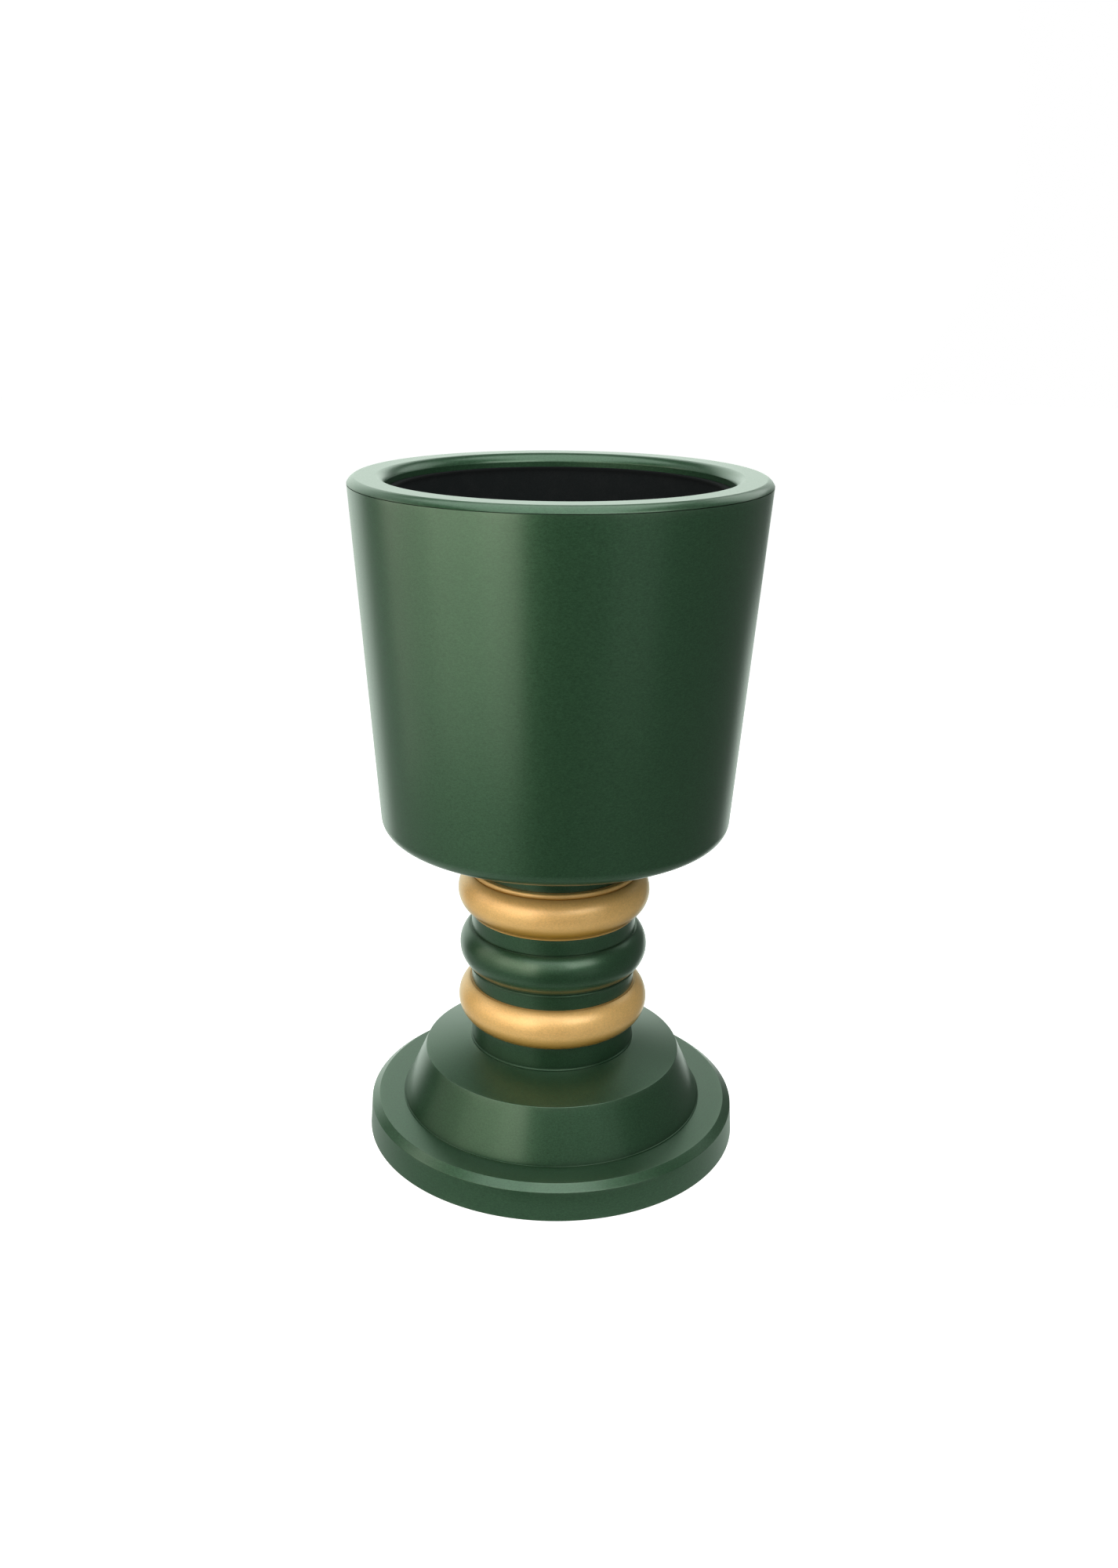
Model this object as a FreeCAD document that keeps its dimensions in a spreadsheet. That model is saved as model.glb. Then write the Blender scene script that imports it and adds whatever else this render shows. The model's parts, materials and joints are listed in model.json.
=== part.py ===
"""Goblet planter: a round foot, a stem dressed with three beads, and a tapered bowl with a lift-out liner.

A parametric document in millimetres, +Z up, with its origin on the ground under the middle of the foot.
Every size is a cell of the sheet "Sizes", and every piece is bound to those cells.
"""
import FreeCAD, Part
import math
import os
import re

import Sketcher

SIZES = {
    # foot
    "pad_height": 4.0,
    "pad_radius": 20.0,
    "pad_circle": 235.0,
    "plate_radius": 268.0,
    "plate_top": 14.0,
    "plate_gap": 0.8,
    "pipe_gap": 2.0,
    "anchor_circle": 170.0,
    "anchor_hole": 7.0,
    "ground_gap": 1.0,
    "foot_radius": 282.0,
    "foot_top_radius": 279.0,
    "foot_side_top": 45.8,
    "ledge_radius": 267.5,
    "ledge_height": 54.4,
    "plinth_wall": 8.0,
    "plinth_bore": 214.0,
    "shoulder_bore": 252.0,
    "shoulder_top": 22.0,
    "ballast_inner": 195.0,
    "ballast_outer": 248.0,
    "ballast_top": 44.0,
    "ballast_chamfer": 4.0,
    # base cone
    "cone_foot_radius": 229.5,
    "cone_edge_radius": 194.0,
    "cone_edge_height": 131.3,
    "cone_top_radius": 125.5,
    "cone_top_height": 150.0,
    "cone_wall": 3.0,
    "cone_flange_bore": 206.0,
    "spigot_depth": 7.0,
    "spigot_gap": 0.4,
    # stem
    "tube_radius": 109.55,
    "tube_wall": 5.0,
    "tube_top": 481.0,
    "sleeve_bore": 109.9,
    "neck_radius": 122.8,
    "top_neck_radius": 118.0,
    "lip_radius": 124.6,
    "bead_radius": 126.0,
    "bead_height": 3.0,
    "gold_ring_radius": 142.7,
    "green_ring_radius": 140.3,
    "ring_half": 30.0,
    "collar_curve": 4.6,
    "core_radius": 130.0,
    "core_half": 20.0,
    "core_chamfer": 6.0,
    "lower_ring_bottom": 187.0,
    "lower_ring_middle": 218.0,
    "middle_ring_middle": 305.5,
    "upper_ring_middle": 394.5,
    "lower_ring_top": 248.7,
    "middle_ring_bottom": 270.8,
    "middle_ring_top": 336.1,
    "upper_ring_bottom": 361.0,
    "upper_ring_top": 432.0,
    "gusset_reach": 185.0,
    "gusset_height": 104.0,
    "gusset_width": 8.0,
    "gusset_toe": 20.0,
    "gusset_crown": 15.0,
    # joint between stem and bowl
    "saddle_radius": 150.0,
    "saddle_top": 491.0,
    "saddle_bore": 60.0,
    "head_ring_bore": 70.0,
    "head_ring_height": 20.0,
    "head_ring_gap": 0.2,
    "gasket_inset": 5.0,
    "bolt_circle": 87.0,
    "bolt_radius": 6.0,
    "bolt_hole": 6.6,
    "thread_hole": 6.05,
    "bolt_head_width": 18.0,
    "bolt_head_height": 7.5,
    "bolt_end_gap": 3.0,
    "washer_radius": 12.0,
    "washer_height": 2.5,
    "washer_gap": 0.4,
    "floor_plate_bore": 50.0,
    "floor_plate_radius": 140.0,
    "floor_plate_height": 6.0,
    # bowl
    "bowl_bottom": 493.0,
    "bowl_wall": 3.0,
    "bowl_corner": 22.7,
    "bowl_flat_radius": 231.4,
    "bowl_wall_bottom": 514.0,
    "bowl_bottom_radius": 254.0,
    "bowl_top_radius": 289.4,
    "bowl_top": 990.0,
    # rim
    "overall_height": 1000.0,
    "rim_bottom": 991.0,
    "rim_outer_flat": 279.4,
    "rim_outer_curve": 16.0,
    "rim_inner_flat": 250.0,
    "rim_inner_reach": 12.0,
    "rim_inner_curve": 16.0,
    "rim_sheet": 3.0,
    "rim_leg_bottom": 972.0,
    "rim_spigot_bottom": 970.0,
    "rim_corner_inset": 6.0,
    "spigot_root_inset": 3.45,
    "spigot_outer_inset": 5.1,
    "spigot_inner_inset": 8.1,
    "seat_bore": 230.0,
    "seat_sheet": 2.8,
    "seat_leg_top": 984.0,
    "seat_gap": 0.2,
    "seat_gasket_top": 974.5,
    "seat_gasket_bore": 231.0,
    "seat_gasket_inset": 0.3,
    # drain
    "drain_bore": 20.0,
    "drain_tail": 25.0,
    "drain_flange": 40.0,
    "drain_flange_height": 5.0,
    "drain_chamfer": 2.0,
    "drain_gasket_height": 2.0,
    "drain_gasket_gap": 0.3,
    "drain_gasket_inset": 1.0,
    "drain_tail_bottom": 455.0,
    "drain_hole": 26.0,
    "drain_nut_radius": 42.0,
    "drain_nut_height": 9.0,
    "drain_thread_gap": 0.06,
    "pipe_radius": 19.9,
    "pipe_wall": 2.4,
    "pipe_bottom": 5.0,
    "pipe_top": 490.0,
    "strainer_radius": 30.0,
    "strainer_rise": 18.0,
    "strainer_wall": 2.0,
    "strainer_hole": 2.5,
    # liner
    "liner_bottom": 580.0,
    "liner_wall": 3.5,
    "liner_floor_radius": 183.0,
    "liner_corner_height": 597.0,
    "liner_corner": 18.3,
    "liner_base_radius": 201.2,
    "liner_top_radius": 228.6,
    "liner_lip_radius": 237.3,
    "liner_top": 981.0,
    "liner_lip_curve": 3.0,
    "liner_lip_chamfer": 1.5,
    "liner_drain_circle": 120.0,
    "liner_drain_hole": 6.0,
    "grid_radius": 193.0,
    "grid_height": 4.0,
    "grid_bottom": 606.0,
    "grid_leg_radius": 7.0,
    "grid_leg_circle": 165.0,
    "grid_hole": 5.0,
    # liner handles
    "hinge_reach": 200.0,
    "hinge_height": 945.0,
    "rod_radius": 4.0,
    "eye_hole": 4.06,
    "bail_half_width": 45.0,
    "bail_drop": 52.0,
    "bail_end": 69.0,
    "bail_bend": 8.0,
    "eye_bend": 6.0,
    "grip_radius": 8.0,
    "grip_half_length": 34.0,
    "grip_bore": 4.1,
    "grip_chamfer": 1.5,
    "grip_chamfer_length": 2.0,
    "eye_radius": 9.0,
    "eye_start": 53.0,
    "eye_length": 14.0,
    "eye_drill_margin": 5.0,
    "bracket_base": 206.0,
    "bracket_half_height": 18.0,
    "bracket_gap": 0.1,
    "bracket_margin": 2.0,
    "bracket_stock": 40.0,
    "screw_radius": 2.5,
    "screw_hole": 2.56,
    "screw_drill_length": 30.0,
    "screw_gap": 0.03,
    "screw_half_pitch": 13.0,
    "screw_depth": 212.0,
    "screw_angle": 15.6,
    "screw_head_radius": 4.5,
    "screw_head_gap": 0.4,
    "screw_head_height": 1.1,
}

FOOT_PAD_COUNT = 6
GUSSET_COUNT = 4
GUSSET_TURN = 45
ANCHOR_COUNT = 4
BOLT_COUNT = 6
LINER_DRAIN_COUNT = 6
GRID_LEG_COUNT = 6
# rings of holes, each as (radius of the ring, number of holes)
STRAINER_RINGS = ((12, 6), (21, 12))
GRID_RINGS = ((25, 6), (50, 12), (75, 18), (100, 24), (125, 30))

LEFT = 1
RIGHT = -1
NOTHING = 1e-9
SMALLEST_CUT = 1

UPRIGHT = FreeCAD.Vector(0, 0, 1)
ACROSS = FreeCAD.Vector(1, 0, 0)
ALONG = FreeCAD.Vector(0, 1, 0)

doc = FreeCAD.newDocument("goblet_planter")


# ---------------------------------------------------------------- sheet

def make_sheet():
    """Write every size in the sheet, with its alias beside it."""
    sizes = doc.addObject("Spreadsheet::Sheet", "Sizes")
    for row, (alias, number) in enumerate(SIZES.items(), start=1):
        sizes.set(f"A{row}", alias)
        sizes.set(f"B{row}", str(number))
        sizes.setAlias(f"B{row}", alias)
    doc.recompute()
    return sizes


sheet = make_sheet()


def bound(text):
    """Put the sheet's name before every alias of a size expression."""
    return re.sub(r"[a-z_]+", lambda word: f"Sizes.{word[0]}" if word[0] in SIZES else word[0], str(text))


def size(text):
    """Work out a size expression."""
    return float(sheet.evalExpression(str(text)))


def bind(item, **expressions):
    """Bind an object's properties to size expressions."""
    for name, text in expressions.items():
        item.setExpression(name, bound(text))


def place(item, x=None, y=None, z=None, rotation=None):
    """Turn an object, then bind the place of its origin."""
    if rotation is not None:
        item.Placement = FreeCAD.Placement(FreeCAD.Vector(), rotation)
    for axis, text in (("x", x), ("y", y), ("z", z)):
        if text is not None:
            item.setExpression(f"Placement.Base.{axis}", bound(text))
    return item


# ---------------------------------------------------------------- sketches

def flat_sketch(body, name, role):
    """Make a sketch on one of the body's own origin planes."""
    planes = {feature.Role: feature for feature in body.Origin.OriginFeatures}
    sketch = body.newObject("Sketcher::SketchObject", name)
    sketch.AttachmentSupport = [(planes[role], "")]
    sketch.MapMode = "FlatFace"
    return sketch


def tie(sketch, kind, references, text):
    """Add one dimension to a sketch and bind it to the sheet."""
    index = sketch.addConstraint(Sketcher.Constraint(kind, *references, size(text)))
    name = f"{kind}_{index}"
    sketch.renameConstraint(index, name)
    sketch.setExpression(f"Constraints.{name}", bound(text))


def tie_point(sketch, edge, end, x, y):
    """Fix one end of an edge at a place measured from the sketch's origin."""
    for kind, text, axis in (("DistanceX", x, -2), ("DistanceY", y, -1)):
        if abs(size(text)) < NOTHING:
            sketch.addConstraint(Sketcher.Constraint("PointOnObject", edge, end, axis))
        else:
            tie(sketch, kind, (-1, 1, edge, end), text)


def arc_between(start, end, radius, turn):
    """Give the short arc from start to end that bends to the given side."""
    chord = end - start
    half = chord.Length / 2
    left = FreeCAD.Vector(-chord.y, chord.x, 0).normalize()
    centre = (start + end) / 2 + left * (turn * math.sqrt(radius ** 2 - half ** 2))
    angles = [math.atan2(spot.y - centre.y, spot.x - centre.x) for spot in (start, end)]
    if turn == RIGHT:
        angles.reverse()
    return Part.ArcOfCircle(Part.Circle(centre, FreeCAD.Vector(0, 0, 1), radius), *angles)


def draw(sketch, corners, closed=True):
    """Draw an outline through its corners and bind each corner to the sheet.

    A corner is (x, y), or (x, y, radius, turn) where the stretch that leaves it is an arc.
    """
    spots = [FreeCAD.Vector(size(corner[0]), size(corner[1]), 0) for corner in corners]
    count = len(corners) if closed else len(corners) - 1
    ends = []
    for index, corner in enumerate(corners[:count]):
        start = spots[index]
        end = spots[(index + 1) % len(spots)]
        if len(corner) == 2:
            sketch.addGeometry(Part.LineSegment(start, end))
            ends.append((1, 2))
        else:
            sketch.addGeometry(arc_between(start, end, size(corner[2]), corner[3]))
            ends.append((1, 2) if corner[3] == LEFT else (2, 1))
    for index in range(count if closed else count - 1):
        following = (index + 1) % count
        joined = Sketcher.Constraint("Coincident", index, ends[index][1], following, ends[following][0])
        sketch.addConstraint(joined)
    for index, corner in enumerate(corners[:count]):
        tie_point(sketch, index, ends[index][0], corner[0], corner[1])
        if len(corner) == 4:
            tie(sketch, "Radius", (index,), corner[2])
    if not closed:
        tie_point(sketch, count - 1, ends[-1][1], corners[-1][0], corners[-1][1])


def draw_circle(sketch, x, y, radius):
    """Draw one circle, bound to the sheet."""
    centre = FreeCAD.Vector(size(x), size(y), 0)
    sketch.addGeometry(Part.Circle(centre, FreeCAD.Vector(0, 0, 1), size(radius)))
    tie_point(sketch, 0, 3, x, y)
    tie(sketch, "Radius", (0,), radius)


# ---------------------------------------------------------------- features

def turned(label, corners):
    """Make a round piece by turning its outline about the upright axis."""
    body = doc.addObject("PartDesign::Body", label)
    outline = flat_sketch(body, "outline", "XZ_Plane")
    draw(outline, corners)
    turning = body.newObject("PartDesign::Revolution", "turning")
    turning.Profile = outline
    turning.ReferenceAxis = (outline, ["V_Axis"])
    turning.Angle = 360
    return body


def turned_ring(label, bore, radius, bottom, top):
    """Turn a plain ring with a rectangular section."""
    return turned(label, [(bore, bottom), (radius, bottom), (radius, top), (bore, top)])


def around(body, feature, sketch, count):
    """Repeat a feature evenly about the upright axis."""
    pattern = body.newObject("PartDesign::PolarPattern", "repeated")
    pattern.Originals = [feature]
    pattern.Axis = (sketch, ["N_Axis"])
    pattern.Angle = 360
    pattern.Occurrences = count
    body.Tip = pattern
    return pattern


def drill(body, hole, circle, count):
    """Drill a ring of upright holes right through a body."""
    doc.recompute()
    before = body.Shape.Volume
    sketch = flat_sketch(body, "hole_outline", "XY_Plane")
    draw_circle(sketch, circle, 0, hole)
    pocket = body.newObject("PartDesign::Pocket", "hole")
    pocket.Profile = sketch
    pocket.Type = "ThroughAll"
    pocket.SideType = "Symmetric"
    around(body, pocket, sketch, count)
    doc.recompute()
    if body.Shape.Volume > before - SMALLEST_CUT:
        raise RuntimeError(f"{body.Label}: the holes cut nothing")


def primitive(kind, name, **expressions):
    """Make one Part primitive bound to the sheet."""
    item = doc.addObject(f"Part::{kind}", name)
    bind(item, **expressions)
    return item


def cylinder(name, radius, height):
    """Make one cylinder along its own Z axis."""
    return primitive("Cylinder", name, Radius=radius, Height=height)


def joined(name, pieces):
    """Fuse pieces into one."""
    fused = doc.addObject("Part::MultiFuse", name)
    fused.Shapes = pieces
    return fused


def cut(name, base, tool):
    """Cut one shape from another."""
    result = doc.addObject("Part::Cut", name)
    result.Base = base
    result.Tool = tool
    return result


def group(label, pieces):
    """Gather loose pieces that share one node."""
    compound = doc.addObject("Part::Compound", label)
    compound.Links = pieces
    return compound


def mirrored(name, source, normal):
    """Make the mirror image of a piece in a plane through the origin."""
    image = doc.addObject("Part::Mirroring", name)
    image.Source = source
    image.Base = FreeCAD.Vector()
    image.Normal = normal
    return image


def on_circle(item, circle, angle, z, rotation=None):
    """Place a piece on a circle about the upright axis."""
    return place(item, f"{circle} * cos({angle})", f"{circle} * sin({angle})", z, rotation)


# ---------------------------------------------------------------- foot

def make_foot():
    """Make the pads, the anchor plate, the plinth, the ballast and the cone."""
    pads = []
    for index in range(FOOT_PAD_COUNT):
        pad = cylinder(f"pad_{index}", "pad_radius", "pad_height")
        pads.append(on_circle(pad, "pad_circle", 360 * index / FOOT_PAD_COUNT, 0))
    foot_pads = group("foot_pads", pads)

    base_plate = turned_ring(
        "base_plate", "pipe_radius + pipe_gap", "plate_radius", "pad_height", "plate_top")
    drill(base_plate, "anchor_hole", "anchor_circle", ANCHOR_COUNT)

    foot_plinth = turned("foot_plinth", [
        ("plate_radius + plate_gap", "ground_gap"),
        ("foot_radius", "ground_gap"),
        ("foot_top_radius", "foot_side_top"),
        ("ledge_radius", "ledge_height"),
        ("plinth_bore", "ledge_height"),
        ("plinth_bore", "ledge_height - plinth_wall"),
        ("ledge_radius - plinth_wall", "ledge_height - plinth_wall"),
        ("foot_top_radius - plinth_wall", "foot_side_top - plinth_wall / 2"),
        ("foot_radius - plinth_wall", "shoulder_top"),
        ("shoulder_bore", "shoulder_top"),
        ("shoulder_bore", "plate_top"),
        ("plate_radius + plate_gap", "plate_top"),
    ])

    ballast_ring = turned("ballast_ring", [
        ("ballast_inner", "plate_top"),
        ("ballast_outer", "plate_top"),
        ("ballast_outer", "ballast_top - ballast_chamfer"),
        ("ballast_outer - ballast_chamfer", "ballast_top"),
        ("ballast_inner + ballast_chamfer", "ballast_top"),
        ("ballast_inner", "ballast_top - ballast_chamfer"),
    ])

    base_cone = turned("base_cone", [
        ("cone_foot_radius", "ledge_height"),
        ("cone_edge_radius", "cone_edge_height"),
        ("cone_top_radius", "cone_top_height"),
        ("sleeve_bore", "cone_top_height"),
        ("sleeve_bore", "cone_top_height - 2 * cone_wall"),
        ("cone_top_radius - cone_wall", "cone_top_height - 2 * cone_wall"),
        ("cone_edge_radius - cone_wall", "cone_edge_height - cone_wall"),
        ("cone_foot_radius - 2 * cone_wall", "ledge_height + cone_wall"),
        ("cone_flange_bore", "ledge_height + cone_wall"),
        ("cone_flange_bore", "ledge_height - spigot_depth"),
        ("plinth_bore - spigot_gap", "ledge_height - spigot_depth"),
        ("plinth_bore - spigot_gap", "ledge_height"),
    ])
    return [foot_pads, base_plate, foot_plinth, ballast_ring, base_cone]


# ---------------------------------------------------------------- stem

def bead_outline(radius, bottom, middle, top, below, above):
    """Outline a cored ring whose outside is one round bead, with given corners below and above it."""
    swell = f"({radius} - bead_radius)"
    return [
        ("sleeve_bore", bottom),
        *below,
        ("bead_radius", f"{middle} - ring_half", f"(ring_half ^ 2 + {swell} ^ 2) / (2 * {swell})", LEFT),
        ("bead_radius", f"{middle} + ring_half"),
        *above,
        ("sleeve_bore", top),
        ("sleeve_bore", f"{middle} + core_half"),
        ("core_radius", f"{middle} + core_half - core_chamfer"),
        ("core_radius", f"{middle} - core_half + core_chamfer"),
        ("sleeve_bore", f"{middle} - core_half"),
    ]


def make_stem_core():
    """Make the tube that carries the bowl, its gussets and the tapped ring in its head."""
    tube_bore = "tube_radius - tube_wall"
    stem_tube = turned_ring("stem_tube", tube_bore, "tube_radius", "plate_top", "tube_top")

    stem_gussets = doc.addObject("PartDesign::Body", "stem_gussets")
    stem_gussets.AllowCompound = True
    outline = flat_sketch(stem_gussets, "gusset_outline", "XZ_Plane")
    draw(outline, [
        ("tube_radius", "plate_top"),
        ("gusset_reach", "plate_top"),
        ("gusset_reach", "plate_top + gusset_toe"),
        ("tube_radius + gusset_crown", "gusset_height"),
        ("tube_radius", "gusset_height"),
    ])
    plate = stem_gussets.newObject("PartDesign::Pad", "gusset_plate")
    plate.Profile = outline
    plate.SideType = "Symmetric"
    bind(plate, Length="gusset_width")
    ring = flat_sketch(stem_gussets, "gusset_axis", "XY_Plane")
    around(stem_gussets, plate, ring, GUSSET_COUNT)
    stem_gussets.Placement = FreeCAD.Placement(FreeCAD.Vector(), FreeCAD.Rotation(UPRIGHT, GUSSET_TURN))

    stem_head_ring = turned_ring(
        "stem_head_ring", "head_ring_bore", f"{tube_bore} - head_ring_gap",
        "tube_top - head_ring_height", "tube_top")
    drill(stem_head_ring, "thread_hole", "bolt_circle", BOLT_COUNT)
    return [stem_tube, stem_gussets, stem_head_ring]


def make_stem_dress():
    """Make the sleeves and beaded rings that slide over the tube, from the foot up."""
    neck_base_sleeve = turned("neck_base_sleeve", [
        ("sleeve_bore", "cone_top_height"),
        ("lip_radius", "cone_top_height"),
        ("lip_radius", "cone_top_height + bead_height / 2"),
        ("neck_radius", "cone_top_height + bead_height"),
        ("neck_radius", "lower_ring_bottom"),
        ("sleeve_bore", "lower_ring_bottom"),
    ])
    lower_gold_ring = turned("lower_gold_ring", bead_outline(
        "gold_ring_radius", "lower_ring_bottom", "lower_ring_middle", "lower_ring_top",
        [("lip_radius", "lower_ring_bottom")],
        [("lip_radius", "lower_ring_middle + ring_half"), ("lip_radius", "lower_ring_top")]))
    lower_neck_sleeve = turned_ring(
        "lower_neck_sleeve", "sleeve_bore", "neck_radius", "lower_ring_top", "middle_ring_bottom")
    middle_ring = turned("middle_ring", bead_outline(
        "green_ring_radius", "middle_ring_bottom", "middle_ring_middle", "middle_ring_top",
        [("bead_radius", "middle_ring_bottom"),
         ("bead_radius", "middle_ring_bottom + bead_height / 2"),
         ("lip_radius", "middle_ring_bottom + bead_height")],
        [("bead_radius", "middle_ring_top")]))
    upper_neck_sleeve = turned_ring(
        "upper_neck_sleeve", "sleeve_bore", "neck_radius", "middle_ring_top", "upper_ring_bottom")
    upper_gold_ring = turned("upper_gold_ring", bead_outline(
        "gold_ring_radius", "upper_ring_bottom", "upper_ring_middle", "upper_ring_top",
        [("lip_radius", "upper_ring_bottom")],
        [("lip_radius", "upper_ring_middle + ring_half", "collar_curve", LEFT),
         ("lip_radius", "upper_ring_top")]))
    top_neck_sleeve = turned_ring(
        "top_neck_sleeve", "sleeve_bore", "top_neck_radius", "upper_ring_top", "tube_top")
    return [
        neck_base_sleeve, lower_gold_ring, lower_neck_sleeve, middle_ring,
        upper_neck_sleeve, upper_gold_ring, top_neck_sleeve]


# ---------------------------------------------------------------- joint between stem and bowl

def hexagon(name, width, height):
    """Make one six-sided prism, its size given across the flats."""
    return primitive("Prism", name, Circumradius=f"{width} / sqrt(3)", Height=height)


def make_bowl_joint():
    """Make the saddle, its gasket, the plate on the bowl's floor, and the bolts and washers."""
    floor_top = "bowl_bottom + bowl_wall"
    washer_bottom = f"{floor_top} + floor_plate_height"
    head_bottom = f"{washer_bottom} + washer_height"
    shank_bottom = "tube_top - head_ring_height + bolt_end_gap"

    bowl_saddle = turned_ring("bowl_saddle", "saddle_bore", "saddle_radius", "tube_top", "saddle_top")
    drill(bowl_saddle, "bolt_hole", "bolt_circle", BOLT_COUNT)
    saddle_gasket = turned_ring(
        "saddle_gasket", "saddle_bore", "saddle_radius - gasket_inset", "saddle_top", "bowl_bottom")
    drill(saddle_gasket, "bolt_hole", "bolt_circle", BOLT_COUNT)
    bowl_floor_plate = turned_ring(
        "bowl_floor_plate", "floor_plate_bore", "floor_plate_radius", floor_top, washer_bottom)
    drill(bowl_floor_plate, "bolt_hole", "bolt_circle", BOLT_COUNT)

    bolts = []
    washers = []
    for index in range(BOLT_COUNT):
        angle = 360 * index / BOLT_COUNT
        shank = cylinder(f"bolt_shank_{index}", "bolt_radius", f"{head_bottom} - ({shank_bottom})")
        on_circle(shank, "bolt_circle", angle, shank_bottom)
        head = hexagon(f"bolt_head_{index}", "bolt_head_width", "bolt_head_height")
        on_circle(head, "bolt_circle", angle, head_bottom)
        bolts.append(joined(f"bolt_{index}", [shank, head]))
        disc = cylinder(f"washer_disc_{index}", "washer_radius", "washer_height")
        on_circle(disc, "bolt_circle", angle, washer_bottom)
        hole = cylinder(f"washer_hole_{index}", "bolt_radius + washer_gap", "washer_height")
        on_circle(hole, "bolt_circle", angle, washer_bottom)
        washers.append(cut(f"washer_{index}", disc, hole))
    return [bowl_saddle, saddle_gasket, bowl_floor_plate,
            group("bowl_bolts", bolts), group("bowl_washers", washers)]


# ---------------------------------------------------------------- bowl

def make_bowl():
    """Make the tapered shell, the rolled rim and the ring that the liner hangs on."""
    bowl_shell = turned("bowl_shell", [
        ("drain_hole", "bowl_bottom"),
        ("bowl_flat_radius", "bowl_bottom", "bowl_corner", LEFT),
        ("bowl_bottom_radius", "bowl_wall_bottom"),
        ("bowl_top_radius", "bowl_top"),
        ("bowl_top_radius - bowl_wall", "bowl_top"),
        ("bowl_bottom_radius - bowl_wall", "bowl_wall_bottom", "bowl_corner - bowl_wall", RIGHT),
        ("bowl_flat_radius", "bowl_bottom + bowl_wall"),
        ("drain_hole", "bowl_bottom + bowl_wall"),
    ])
    drill(bowl_shell, "bolt_hole", "bolt_circle", BOLT_COUNT)

    leg = "rim_inner_flat - rim_inner_reach"
    rim_ring = turned("rim_ring", [
        ("bowl_top_radius", "rim_bottom", "rim_outer_curve", LEFT),
        ("rim_outer_flat", "overall_height"),
        ("rim_inner_flat", "overall_height", "rim_inner_curve", LEFT),
        (leg, "overall_height - rim_inner_reach"),
        (leg, "rim_leg_bottom"),
        (f"{leg} + rim_sheet", "rim_leg_bottom"),
        (f"{leg} + rim_sheet", "overall_height - rim_inner_reach", "rim_inner_curve - rim_sheet", RIGHT),
        ("rim_inner_flat", "overall_height - rim_sheet"),
        ("rim_outer_flat", "overall_height - rim_sheet"),
        ("bowl_top_radius - rim_corner_inset", "overall_height - rim_corner_inset"),
        ("bowl_top_radius - spigot_inner_inset", "rim_spigot_bottom"),
        ("bowl_top_radius - spigot_outer_inset", "rim_spigot_bottom"),
        ("bowl_top_radius - spigot_root_inset", "rim_bottom"),
    ])

    behind_leg = f"{leg} + rim_sheet + seat_gap"
    seat_bottom = "rim_leg_bottom - seat_sheet"
    liner_seat_ring = turned("liner_seat_ring", [
        ("seat_bore", seat_bottom),
        (f"{behind_leg} + seat_sheet", seat_bottom),
        (f"{behind_leg} + seat_sheet", "seat_leg_top"),
        (behind_leg, "seat_leg_top"),
        (behind_leg, "rim_leg_bottom"),
        ("seat_bore", "rim_leg_bottom"),
    ])
    liner_seat_gasket = turned_ring(
        "liner_seat_gasket", "seat_gasket_bore", "liner_lip_radius - seat_gasket_inset",
        "rim_leg_bottom", "seat_gasket_top")
    return [bowl_shell, rim_ring, liner_seat_ring, liner_seat_gasket]


def make_drain():
    """Make the drain fitting in the bowl's floor and the pipe that runs down the stem."""
    floor_top = "bowl_bottom + bowl_wall"
    flange_bottom = f"{floor_top} + drain_gasket_height"
    flange_top = f"{flange_bottom} + drain_flange_height"
    drain_body = turned("drain_body", [
        ("drain_bore", "drain_tail_bottom"),
        ("drain_tail", "drain_tail_bottom"),
        ("drain_tail", flange_bottom),
        ("drain_flange", flange_bottom),
        ("drain_flange", f"{flange_top} - drain_chamfer"),
        ("drain_flange - drain_chamfer", flange_top),
        ("drain_bore", flange_top),
    ])
    drain_gasket = turned_ring(
        "drain_gasket", "drain_tail + drain_gasket_gap", "drain_flange - drain_gasket_inset",
        floor_top, flange_bottom)
    nut = hexagon("drain_nut_blank", "drain_nut_radius * sqrt(3)", "drain_nut_height")
    place(nut, z="bowl_bottom - drain_nut_height")
    nut_hole = cylinder("drain_nut_hole", "drain_tail + drain_thread_gap", "drain_nut_height")
    place(nut_hole, z="bowl_bottom - drain_nut_height")
    drain_nut = cut("drain_nut", nut, nut_hole)

    inner_rise = "(strainer_rise - strainer_wall)"
    inner_radius = "(strainer_radius - strainer_wall)"
    drain_strainer = turned("drain_strainer", [
        (inner_radius, flange_top),
        ("strainer_radius", flange_top,
         "(strainer_radius ^ 2 + strainer_rise ^ 2) / (2 * strainer_rise)", LEFT),
        ("0", f"{flange_top} + strainer_rise"),
        ("0", f"{flange_top} + {inner_rise}",
         f"({inner_radius} ^ 2 + {inner_rise} ^ 2) / (2 * {inner_rise})", RIGHT),
    ])
    for circle, count in STRAINER_RINGS:
        drill(drain_strainer, "strainer_hole", circle, count)
    drain_pipe = turned_ring(
        "drain_pipe", "pipe_radius - pipe_wall", "pipe_radius", "pipe_bottom", "pipe_top")
    return [drain_body, drain_gasket, drain_nut, drain_strainer, drain_pipe]


# ---------------------------------------------------------------- liner

WALL_SLOPE = "(liner_top_radius - liner_base_radius) / (seat_gasket_top - liner_corner_height)"


def liner_radius(height):
    """Give the outer radius of the liner's wall at a height."""
    return f"(liner_top_radius - (seat_gasket_top - ({height})) * {WALL_SLOPE})"


def corner_spots():
    """Give the four angles about the upright axis where a handle bracket is screwed to the wall."""
    return ["screw_angle", "180 - screw_angle", "180 + screw_angle", "360 - screw_angle"]


def screw_start(height):
    """Give the distance from the upright axis at which a screw ends, at any height."""
    return "screw_depth"


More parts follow.
